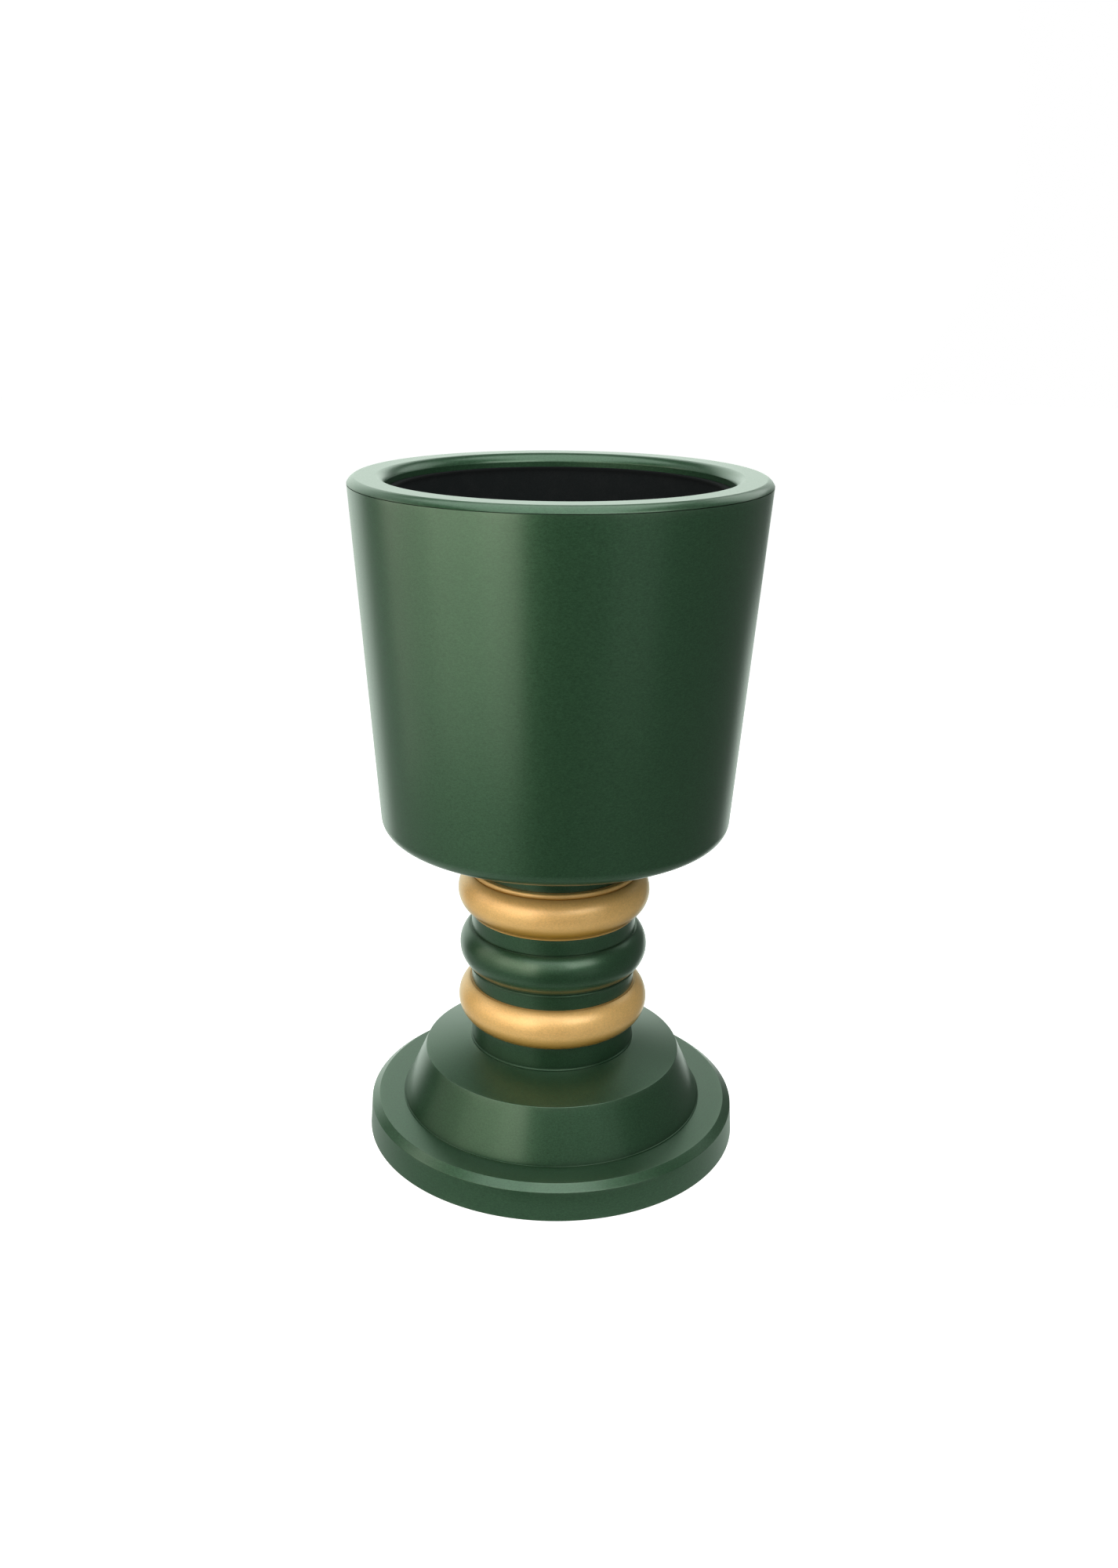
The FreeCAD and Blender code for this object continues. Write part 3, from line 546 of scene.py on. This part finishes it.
def green_paint():
    """Satin dark green powder coat, with a fine mottled grain that runs a little along the turning."""
    finish = Finish("green_paint", {"Metallic": 0.65, "Coat IOR": 1.5, "Specular IOR Level": 0.2})
    mottle = finish.grain(75.0, 560.0)
    flake = finish.noise(finish.place, 820.0, 2.0, 0.7)
    patch = finish.noise(finish.place, 9.0, 2.0)
    color = finish.mix(finish.scaled(patch, 0.0, 1.0), GREEN_DARK, GREEN_LIGHT)
    color = finish.shade(color, finish.scaled(mottle, 0.80, 1.20))
    color = finish.shade(color, finish.scaled(flake, 0.84, 1.16))
    # edges lightened in patches: partly wear, partly a painted highlight where the rounded edges catch
    # light
    wear_and_highlight = finish.times(finish.near("edge"), finish.ramp(patch, 0.42, 0.62))
    color = finish.mix(finish.times(wear_and_highlight, 0.22), color, GREEN_WEAR_AND_HIGHLIGHT)
    # painted shade: the coves darkened where shade falls between parts
    color = finish.mix(finish.times(finish.near("cove"), 0.5), color, GREEN_PAINTED_SHADE)
    finish.put("Base Color", color)
    finish.dull_coves()
    finish.dull_tops(0.25)
    finish.put("Roughness", finish.scaled(mottle, 0.34, 0.42))
    finish.fine_bump(mottle, flake)
    return finish.material


def satin_gold():
    """Satin gold with a fine mottled grain, with painted shade that makes it darker and browner in its
    coves and underneath, and edges lightened partly by wear and partly by a painted highlight.
    """
    finish = Finish("gold", {
        "Metallic": 0.4, "Specular IOR Level": 0.3, "Coat Roughness": 0.28, "Coat IOR": 1.5})
    mottle = finish.grain(45.0, 560.0)
    flake = finish.noise(finish.place, 900.0, 2.0, 0.7)
    patch = finish.noise(finish.place, 22.0, 4.0, 0.6)
    color = finish.mix(finish.scaled(patch, 0.0, 1.0), GOLD_DARK, GOLD_LIGHT)
    color = finish.shade(color, finish.scaled(mottle, 0.9, 1.1))
    color = finish.shade(color, finish.scaled(flake, 0.92, 1.08))
    # painted shade: the coves darkened where shade falls between parts
    color = finish.mix(finish.times(finish.near("cove"), 0.95), color, GOLD_PAINTED_SHADE)
    # edges lightened: partly wear, partly a painted highlight where the rounded edges catch light
    color = finish.mix(finish.times(finish.near("edge"), 0.25), color, GOLD_WEAR_AND_HIGHLIGHT)
    # painted shade: faces that lean down darkened, as the light under the rings is weaker
    color = finish.mix(finish.times(finish.underside(), 0.92), color, GOLD_PAINTED_UNDERSIDE_SHADE)
    finish.put("Base Color", color)
    finish.dull_coves()
    finish.put("Roughness", finish.scaled(mottle, 0.36, 0.46))
    finish.fine_bump(mottle, flake)
    return finish.material


def moulded(name, color, grain_scale, roughness, depth):
    """Matt moulded plastic with a fine leathery grain, a little dust and painted shade that darkens its
    edges.
    """
    finish = Finish(name, {"Specular IOR Level": 0.1})
    grain = finish.noise(finish.place, grain_scale, 3.0, 0.6)
    patch = finish.noise(finish.place, 40.0, 5.0, 0.7)
    clean = (*color, 1)
    dusty = (*[DUST_FADE * part + DUST_LIFT for part in color], 1)
    tone = finish.mix(finish.ramp(patch, 0.4, 0.8), clean, dusty)
    tone = finish.shade(tone, finish.scaled(grain, 0.8, 1.2))
    # painted shade: the edges darkened, as on a lip lying in shadow
    painted_edge_shade = finish.times(finish.near("edge"), PLASTIC_PAINTED_EDGE_SHADE)
    tone = finish.shade(tone, finish.math("SUBTRACT", 1.0, painted_edge_shade))
    finish.put("Base Color", tone)
    smoothest = roughness - PLASTIC_UNEVENNESS
    roughest = roughness + PLASTIC_UNEVENNESS
    finish.put("Roughness", finish.scaled(patch, smoothest, roughest))
    finish.bump(grain, depth, BUMP_STRENGTH)
    return finish.material


def galvanised_steel():
    """Dull zinc with its crystal spangle and a pale bloom."""
    finish = Finish("galvanised_steel", {"Metallic": 0.9, "Specular IOR Level": 0.5})
    cell = finish.add("TexVoronoi", {"Vector": finish.place, "Scale": 130.0}, feature="F1")
    spangle = finish.split(cell.outputs["Color"])[0]
    bloom = finish.noise(finish.place, 30.0, 4.0, 0.6)
    fine = finish.noise(finish.place, 700.0, 2.0)
    color = finish.mix(spangle, ZINC_DARK, ZINC_LIGHT)
    color = finish.mix(finish.ramp(bloom, 0.5, 0.75), color, ZINC_BLOOM)
    color = finish.shade(color, finish.scaled(fine, 0.94, 1.06))
    finish.put("Base Color", color)
    finish.put("Roughness", finish.plus(finish.times(spangle, 0.16), 0.36))
    finish.bump(finish.plus(spangle, fine), 0.03 * MM, 0.5)
    return finish.material


def cast_iron():
    """Rough cast iron with sand grain and a little rust in patches."""
    finish = Finish("ballast_iron", {"Metallic": 0.5, "Specular IOR Level": 0.4})
    sand = finish.noise(finish.place, 380.0, 4.0, 0.7)
    patch = finish.noise(finish.place, 18.0, 4.0, 0.6)
    color = finish.mix(finish.ramp(patch, 0.5, 0.75), IRON, RUST)
    color = finish.shade(color, finish.scaled(sand, 0.7, 1.3))
    finish.put("Base Color", color)
    finish.put("Roughness", finish.scaled(sand, 0.6, 0.8))
    finish.bump(sand, 0.5 * MM, 0.7)
    return finish.material


MATERIALS = {
    "green_paint": green_paint(),
    "gold": satin_gold(),
    "galvanised_steel": galvanised_steel(),
    "ballast_iron": cast_iron(),
    "rubber": moulded("rubber", (0.022, 0.022, 0.023), 520.0, 0.75, 0.12 * MM),
    "drain_plastic": moulded("drain_plastic", (0.2, 0.21, 0.22), 700.0, 0.5, 0.05 * MM),
    "liner_plastic": moulded("liner_plastic", (0.0085, 0.0108, 0.0112), 640.0, 0.85, 0.12 * MM),
    "grip_plastic": moulded("grip_plastic", (0.02, 0.02, 0.022), 900.0, 0.55, 0.06 * MM),
}


def dress(piece, node):
    """Give a piece its node's material, let it ride with the node's body, and let it stand for the node."""
    piece.data.materials.append(MATERIALS[SLOT_OF[node]])
    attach(piece, BODY_OF[node])
    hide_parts(node)


def turned(node, corners):
    """Turn the piece that stands for a round node."""
    dress(lathe(node + "_skin", corners), node)


# ---------------------------------------------------------------- foot

def make_foot():
    """Make the plinth and the cone."""
    radius, bottom, top = span("foot_plinth")
    plate_radius, _, plate_top = span("base_plate")
    turned("foot_plinth", [
        (plate_radius + PLATE_GAP, bottom),
        (radius, bottom, PLINTH_FOOT_ROUND),
        (FOOT_TOP_RADIUS, FOOT_SIDE_TOP, PLINTH_SIDE_ROUND),
        (LEDGE_RADIUS, top, LEDGE_ROUND),
        (PLINTH_BORE, top, PLINTH_BORE_ROUND),
        (PLINTH_BORE, top - PLINTH_WALL),
        (LEDGE_RADIUS - PLINTH_WALL, top - PLINTH_WALL),
        (FOOT_TOP_RADIUS - PLINTH_WALL, FOOT_SIDE_TOP - PLINTH_WALL / 2),
        (radius - PLINTH_WALL, SHOULDER_TOP),
        (SHOULDER_BORE, SHOULDER_TOP),
        (SHOULDER_BORE, plate_top),
        (plate_radius + PLATE_GAP, plate_top),
    ])
    cone_radius, cone_bottom, cone_top = span("base_cone")
    turned("base_cone", [
        (cone_radius, top),
        (cone_radius, top + CONE_LIP, CONE_LIP_ROUND),
        (cone_radius - CONE_LIP, top + CONE_LIP_TOP),
        (CONE_EDGE_RADIUS, CONE_EDGE_HEIGHT, CONE_EDGE_ROUND),
        (CONE_TOP_RADIUS, cone_top),
        (SLEEVE_BORE, cone_top),
        (SLEEVE_BORE, cone_top - 2 * CONE_WALL),
        (CONE_TOP_RADIUS - CONE_WALL, cone_top - 2 * CONE_WALL),
        (CONE_EDGE_RADIUS - CONE_WALL, CONE_EDGE_HEIGHT - CONE_WALL),
        (cone_radius - 2 * CONE_WALL, top + CONE_WALL),
        (CONE_FLANGE_BORE, top + CONE_WALL),
        (CONE_FLANGE_BORE, cone_bottom),
        (PLINTH_BORE - SPIGOT_GAP, cone_bottom),
        (PLINTH_BORE - SPIGOT_GAP, top),
    ])


# ---------------------------------------------------------------- stem

def bead(node, middle, below, above):
    """Make a cored ring whose outside is one round bead, with given corners below and above it."""
    radius, bottom, top = span(node)
    turned(node, [
        (SLEEVE_BORE, bottom),
        *below,
        (BEAD_RADIUS, middle - BEAD_HALF, 0, radius - BEAD_RADIUS),
        (BEAD_RADIUS, middle + BEAD_HALF),
        *above,
        (SLEEVE_BORE, top),
        (SLEEVE_BORE, middle + CORE_HALF),
        (CORE_RADIUS, middle + CORE_HALF - CORE_CHAMFER),
        (CORE_RADIUS, middle - CORE_HALF + CORE_CHAMFER),
        (SLEEVE_BORE, middle - CORE_HALF),
    ])


def sleeve(node):
    """Make a plain sleeve of the stem."""
    radius, bottom, top = span(node)
    turned(node, [
        (SLEEVE_BORE, bottom),
        (radius, bottom, SLEEVE_ROUND),
        (radius, top, SLEEVE_ROUND),
        (SLEEVE_BORE, top),
    ])


def make_stem():
    """Make the sleeves and beaded rings, from the foot up."""
    radius, bottom, top = span("neck_base_sleeve")
    neck = span("lower_neck_sleeve")[0]
    turned("neck_base_sleeve", [
        (SLEEVE_BORE, bottom),
        (radius, bottom, NECK_FOOT_ROUND),
        (radius, bottom + BEAD_HEIGHT / 2, SLEEVE_ROUND),
        (neck, bottom + BEAD_HEIGHT),
        (neck, top, NECK_TOP_ROUND),
        (SLEEVE_BORE, top),
    ])
    _, bottom, top = span("lower_gold_ring")
    bead("lower_gold_ring", LOWER_RING_MIDDLE,
         [(LIP_RADIUS, bottom)],
         [(LIP_RADIUS, LOWER_RING_MIDDLE + BEAD_HALF), (LIP_RADIUS, top, RING_LIP_ROUND)])
    sleeve("lower_neck_sleeve")
    _, bottom, top = span("middle_ring")
    bead("middle_ring", MIDDLE_RING_MIDDLE,
         [(BEAD_RADIUS, bottom, SMALL_BEAD_ROUND),
          (BEAD_RADIUS, bottom + BEAD_HEIGHT / 2, SMALL_BEAD_ROUND),
          (LIP_RADIUS, bottom + BEAD_HEIGHT)],
         [(BEAD_RADIUS, top, RING_LIP_ROUND)])
    sleeve("upper_neck_sleeve")
    _, bottom, top = span("upper_gold_ring")
    bead("upper_gold_ring", UPPER_RING_MIDDLE,
         [(LIP_RADIUS, bottom)],
         [(LIP_RADIUS, UPPER_RING_MIDDLE + BEAD_HALF, 0, COLLAR_SWELL), (LIP_RADIUS, top)])
    sleeve("top_neck_sleeve")


# ---------------------------------------------------------------- bowl

def corner_radius(height):
    """Give the radius at which the bowl's tapered wall would meet a height."""
    radius, _, top = span("bowl_shell")
    slope = (radius - BOWL_BOTTOM_RADIUS) / (top - BOWL_WALL_BOTTOM)
    return radius - slope * (top - height)


def make_bowl():
    """Make the tapered shell, the rolled rim and the ring that the liner hangs on."""
    radius, bottom, top = span("bowl_shell")
    turned("bowl_shell", [
        (DRAIN_HOLE, bottom),
        (corner_radius(bottom), bottom, BOWL_CORNER),
        (radius, top),
        (radius - BOWL_WALL, top),
        (corner_radius(bottom + BOWL_WALL) - BOWL_WALL, bottom + BOWL_WALL, BOWL_CORNER - BOWL_WALL),
        (DRAIN_HOLE, bottom + BOWL_WALL),
    ])
    radius, bottom, top = span("rim_ring")
    leg = RIM_INNER_FLAT - RIM_INNER_REACH
    turned("rim_ring", [
        (radius, RIM_BOTTOM, 0, swell_of(radius - RIM_OUTER_FLAT, top - RIM_BOTTOM, RIM_CURVE)),
        (RIM_OUTER_FLAT, top),
        (RIM_INNER_FLAT, top, 0, swell_of(RIM_INNER_REACH, RIM_INNER_REACH, RIM_CURVE)),
        (leg, top - RIM_INNER_REACH),
        (leg, RIM_LEG_BOTTOM),
        (leg + RIM_SHEET, RIM_LEG_BOTTOM),
        (leg + RIM_SHEET, top - RIM_SHEET, RIM_INNER_REACH - RIM_SHEET),
        (radius - 2 * RIM_SHEET, top - RIM_SHEET, RIM_SHEET),
        (radius - SPIGOT_INNER_INSET, bottom),
        (radius - SPIGOT_OUTER_INSET, bottom),
        (radius - SPIGOT_ROOT_INSET, RIM_BOTTOM),
    ])
    outer, seat_bottom, seat_top = span("liner_seat_ring")
    turned("liner_seat_ring", [
        (SEAT_BORE, seat_bottom, SEAT_BORE_ROUND),
        (outer, seat_bottom, SEAT_HEEL_ROUND),
        (outer, seat_top, SEAT_TOP_ROUND),
        (outer - SEAT_SHEET, seat_top, SEAT_TOP_ROUND),
        (outer - SEAT_SHEET, seat_bottom + SEAT_SHEET),
        (SEAT_BORE, seat_bottom + SEAT_SHEET, SEAT_BORE_ROUND),
    ])


# ---------------------------------------------------------------- liner

def make_liner():
    """Make the liner pot."""
    lip, bottom, top = span("liner_pot")
    inner = LINER_TOP_RADIUS - LINER_WALL
    turned("liner_pot", [
        (0, bottom),
        (LINER_BASE_RADIUS, bottom, LINER_CORNER),
        (LINER_TOP_RADIUS, LINER_SHOULDER),
        (lip, LINER_SHOULDER, LINER_SHOULDER_ROUND),
        (lip, top, LINER_LIP_ROUND),
        (inner, top, LINER_MOUTH_ROUND),
        (inner, LINER_SHOULDER),
        (LINER_BASE_RADIUS - LINER_WALL, bottom + LINER_WALL, LINER_CORNER - LINER_WALL),
        (0, bottom + LINER_WALL),
    ])


def make_grips():
    """Make the two ribbed grips, turned upright and then laid along Y."""
    for node in ("right_handle_grip", "left_handle_grip"):
        low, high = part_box(node)
        radius = (high.z - low.z) / 2
        half = (high.y - low.y) / 2
        first = GRIP_COLLAR - half
        pitch = -2 * first / GRIP_RIBS
        ribs = [(radius - RIB_SWELL, first + rib * pitch, 0, RIB_SWELL) for rib in range(GRIP_RIBS)]
        grip = lathe(node + "_skin", [
            (GRIP_BORE, -half),
            (radius, -half, GRIP_END_ROUND),
            (radius, first, GRIP_COLLAR_ROUND),
            *ribs,
            (radius - RIB_SWELL, -first),
            (radius, -first, GRIP_COLLAR_ROUND),
            (radius, half, GRIP_END_ROUND),
            (GRIP_BORE, half),
        ], GRIP_SEGMENTS)
        grip.matrix_world = Matrix.Translation((low + high) / 2) @ Matrix.Rotation(-math.pi / 2, 4, "X")
        dress(grip, node)


def keep_cad_nodes():
    """Give every CAD node that still shows the material of its slot, and break its sharp edges."""
    for node, piece in frame["nodes"].items():
        if piece.hide_render:
            continue
        piece.data.materials.clear()
        piece.data.materials.append(MATERIALS[SLOT_OF[node]])
        weld = piece.modifiers.new("weld", "WELD")
        weld.merge_threshold = WELD_GAP
        bevel = piece.modifiers.new("bevel", "BEVEL")
        bevel.width = EDGE_BREAK
        bevel.segments = EDGE_BREAK_SEGMENTS
        bevel.limit_method = "ANGLE"
        bevel.angle_limit = EDGE_BREAK_ANGLE
        bevel.harden_normals = True


# ---------------------------------------------------------------- stage

CAMERA_PLACE = (0.0, -2.069, 1.2665)
CAMERA_PITCH = math.radians(19.612)
CAMERA_YAW = math.radians(-1.534)
CAMERA_ROLL = math.radians(0.343)
CAMERA_LENS = 34.417
CAMERA_SENSOR = 36.0
CAMERA_SHIFT = (0.02657, 0.0102)

KEY_DISTANCE = 1.6
# panels of the key, each as (azimuth, spread in degrees, brightness, brightness of its lowest tier)
KEY_PANELS = ((-28, 20, 2.7, 1.08), (-53, 30, 2.1, 0.80), (-84, 32, 1.1, 0.48))
KEY_COLOR = (1.0, 0.90, 0.80)
KEY_MIDDLE_COLOR = (1.0, 0.96, 0.82)
KEY_LOW_COLOR = (1.0, 0.98, 0.84)
KEY_MIDDLE_SHARE = 1.35
KEY_LOW_SHARE = 0.97

WARM_WHITE = (1.0, 0.98, 0.95)
COOL_WHITE = (0.98, 1.0, 1.0)
GREENISH = (0.95, 1.0, 0.95)
PALE_GREENISH = (0.95, 1.0, 0.97)

FLOOR_RADIUS = 14.0
FLOOR_SHADES = ((0.93, 0.93, 0.93, 1), (0.95, 0.95, 0.95, 1))
FLOOR_BRIGHTNESS = 0.95
GLOW_COLOR = (0.80, 0.97, 0.84, 1)
GLOW_BRIGHTNESS = 0.48
# distances from the middle between which the glow that glossy surfaces see fades out
GLOW_FADE = (0.33, 0.39)

WHITE = (1, 1, 1, 1)
ROOM_TINT = (0.87, 1.0, 0.9, 1)
# each fade is over a part of a direction: x to the right, y to the back or z up
WALL_FADE_Y = (0.5, 0.78)
WALL_BRIGHTNESS = 1.0
WALL_HIGH_EXTRA = 0.25
WALL_HIGH_FADE_Z = (-0.1, 0.05)
WALL_RIGHT_FADE_X = (-0.1, 0.35)
# how much further back the wall starts on the right: always, above one height and above another
WALL_INSET = 0.04
WALL_INSET_LOW = 0.10
WALL_INSET_LOW_FADE_Z = (-0.5, -0.35)
WALL_INSET_HIGH = 0.15
WALL_INSET_HIGH_FADE_Z = (-0.27, -0.2)
WALL_GAP_FADE_X = (-0.1, -0.3)
WALL_GAP_FADE_Z = (0.48, 0.64)
LEFT_LOW_BRIGHTNESS = 0.33
LEFT_LOW_FADE_X = (-0.15, -0.55)
LEFT_LOW_FADE_Z = (-0.1, -0.3)
BELOW_BRIGHTNESS = 0.3
BELOW_FADE_Z = (-0.5, -0.75)
ROOM_BRIGHTNESS = 0.02
ROOM_RIGHT_EXTRA = 0.11
ROOM_RIGHT_FADE_X = (0.0, 0.45)


def on_ring(azimuth, distance, height):
    """Give a place round the object. Azimuth 0 is the front, and it grows towards +X, in degrees."""
    angle = math.radians(azimuth)
    return (distance * math.sin(angle), -distance * math.cos(angle), height)


# softboxes all round, each as (name, place, aim, width, height, brightness, colour)
SOFTBOXES = (
    ("overhead", (-0.25, -0.8, 2.4), (-0.25, -0.8, 0.0), 2.3, 2.8, 2.0, COOL_WHITE),
    ("front", (0.0, -3.0, 2.25), (0, 0, 0.3), 3.4, 1.5, 0.95, WARM_WHITE),
    ("front_low", (0.0, -3.1, 1.0), (0, 0, 0.2), 2.4, 0.9, 0.16, GREENISH),
    ("side", on_ring(40, 1.9, 0.8), (0, 0, 0.7), 0.9, 1.6, 0.2, GREENISH),
    ("right_front", on_ring(38, 2.2, 2.0), (0, 0, 0.4), 1.5, 1.1, 2.9, WARM_WHITE),
    ("left_high", on_ring(-108, 2.0, 2.0), (0, 0, 0.3), 1.5, 1.3, 0.6, PALE_GREENISH),
    ("right_high", on_ring(128, 2.0, 2.0), (0, 0, 0.3), 1.5, 1.3, 1.2, PALE_GREENISH),
)


def make_camera():
    """Make the camera, a little above the rim and tilted down."""
    data = bpy.data.cameras.new("camera")
    data.sensor_fit = "VERTICAL"
    data.sensor_height = CAMERA_SENSOR
    data.lens = CAMERA_LENS
    data.shift_x, data.shift_y = CAMERA_SHIFT
    camera = bpy.data.objects.new("camera", data)
    bpy.context.scene.collection.objects.link(camera)
    ahead = Vector((math.sin(CAMERA_YAW) * math.cos(CAMERA_PITCH),
                    math.cos(CAMERA_YAW) * math.cos(CAMERA_PITCH), -math.sin(CAMERA_PITCH)))
    right = ahead.cross(Vector((0, 0, 1))).normalized()
    up = right.cross(ahead)
    tilted_right = right * math.cos(CAMERA_ROLL) + up * math.sin(CAMERA_ROLL)
    tilted_up = up * math.cos(CAMERA_ROLL) - right * math.sin(CAMERA_ROLL)
    axes = Matrix((tilted_right, tilted_up, -ahead)).transposed()
    camera.matrix_world = Matrix.Translation(CAMERA_PLACE) @ axes.to_4x4()
    bpy.context.scene.camera = camera


def make_softbox(name, place, aim, width, height, brightness, color):
    """Make one rectangular light of a given brightness, turned to a point."""
    data = bpy.data.lights.new(name, "AREA")
    data.shape = "RECTANGLE"
    data.size = width
    data.size_y = height
    data.color = color
    data.energy = brightness * math.pi * width * height
    light = bpy.data.objects.new(name, data)
    bpy.context.scene.collection.objects.link(light)
    light.location = place
    light.rotation_mode = "QUATERNION"
    light.rotation_quaternion = (Vector(aim) - Vector(place)).to_track_quat("-Z", "Y")


def make_key():
    """Make the key: three upright softboxes side by side on the left, each over two dimmer tiers."""
    for azimuth, spread, high, low in KEY_PANELS:
        width = 2 * KEY_DISTANCE * math.tan(math.radians(spread / 2))
        tiers = (
            ("key", 1.10, 1.10, high, KEY_COLOR),
            ("key_middle", 0.40, 0.27, KEY_MIDDLE_SHARE * low, KEY_MIDDLE_COLOR),
            ("key_low", 0.13, 0.25, KEY_LOW_SHARE * low, KEY_LOW_COLOR),
        )
        for name, middle, height, brightness, color in tiers:
            make_softbox(f"{name}_{-azimuth}", on_ring(azimuth, KEY_DISTANCE, middle), (0, 0, middle),
                         width, height, brightness, color)


def make_lights():
    """Make the key and the softboxes all round."""
    make_key()
    for softbox in SOFTBOXES:
        make_softbox(*softbox)


def make_floor():
    """Make a plain white floor. Glossy surfaces see only the part of it round the foot."""
    bpy.ops.mesh.primitive_circle_add(vertices=96, radius=FLOOR_RADIUS, fill_type="NGON")
    floor = bpy.context.object
    floor.name = "floor"
    finish = Finish("floor", {"Roughness": 0.9, "Specular IOR Level": 0.1})
    color = finish.mix(finish.noise(finish.place, 2.0, 2.0), *FLOOR_SHADES)
    finish.put("Base Color", color)
    finish.put("Emission Color", color)
    path = finish.add("LightPath").outputs
    finish.put("Emission Strength", finish.times(path["Is Camera Ray"], FLOOR_BRIGHTNESS))
    glow = finish.add("Emission", {"Color": GLOW_COLOR, "Strength": GLOW_BRIGHTNESS}).outputs[0]
    clear = finish.add("BsdfTransparent").outputs[0]
    distance = finish.add("VectorMath", {0: finish.place}, operation="LENGTH").outputs["Value"]
    mirrored = finish.add("MixShader", {0: finish.ramp(distance, *GLOW_FADE), 1: glow, 2: clear}).outputs[0]
    plain = finish.shader.outputs[0]
    shown = finish.add("MixShader", {0: path["Is Glossy Ray"], 1: plain, 2: mirrored}).outputs[0]
    finish.feed(finish.tree.nodes["Material Output"].inputs["Surface"], shown)
    finish.material.cycles.emission_sampling = "NONE"
    floor.data.materials.append(finish.material)


def wall_brightness(sky, x, y, z):
    """Give the brightness of the white wall behind the object, which the object sees."""
    inset = sky.times(sky.ramp(z, *WALL_INSET_HIGH_FADE_Z), WALL_INSET_HIGH)
    inset = sky.plus(inset, sky.times(sky.ramp(z, *WALL_INSET_LOW_FADE_Z), WALL_INSET_LOW))
    inset = sky.times(sky.plus(inset, WALL_INSET), sky.ramp(x, *WALL_RIGHT_FADE_X))
    reach = sky.math("SUBTRACT", y, inset)
    level = sky.plus(sky.times(sky.ramp(z, *WALL_HIGH_FADE_Z), WALL_HIGH_EXTRA), WALL_BRIGHTNESS)
    gap = sky.times(sky.ramp(x, *WALL_GAP_FADE_X), sky.ramp(z, *WALL_GAP_FADE_Z))
    wall = sky.times(sky.ramp(reach, *WALL_FADE_Y), level)
    return sky.times(wall, sky.math("SUBTRACT", 1.0, gap))


def make_surroundings():
    """Make a white background, which the object sees as a bright wall behind it in a dark room."""
    world = bpy.data.worlds.new("studio")
    world.use_nodes = True
    bpy.context.scene.world = world
    sky = Graph(world.node_tree)
    x, y, z = sky.split(sky.add("TexCoord").outputs["Generated"])
    left_low = sky.times(sky.ramp(x, *LEFT_LOW_FADE_X), sky.ramp(z, *LEFT_LOW_FADE_Z))
    below = sky.ramp(z, *BELOW_FADE_Z)
    low = sky.plus(sky.times(left_low, LEFT_LOW_BRIGHTNESS), sky.times(below, BELOW_BRIGHTNESS))
    room = sky.plus(sky.times(sky.ramp(x, *ROOM_RIGHT_FADE_X), ROOM_RIGHT_EXTRA), ROOM_BRIGHTNESS)
    seen = sky.math("MAXIMUM", sky.math("MAXIMUM", wall_brightness(sky, x, y, z), low), room)
    camera_ray = sky.add("LightPath").outputs["Is Camera Ray"]
    background = sky.tree.nodes["Background"]
    sky.feed(background.inputs["Color"], sky.mix(camera_ray, ROOM_TINT, WHITE))
    sky.feed(background.inputs["Strength"], sky.math("MAXIMUM", camera_ray, seen))


make_foot()
make_stem()
make_bowl()
make_liner()
make_grips()
keep_cad_nodes()
make_camera()
make_lights()
make_floor()
make_surroundings()
bpy.context.scene.view_settings.view_transform = "Standard"
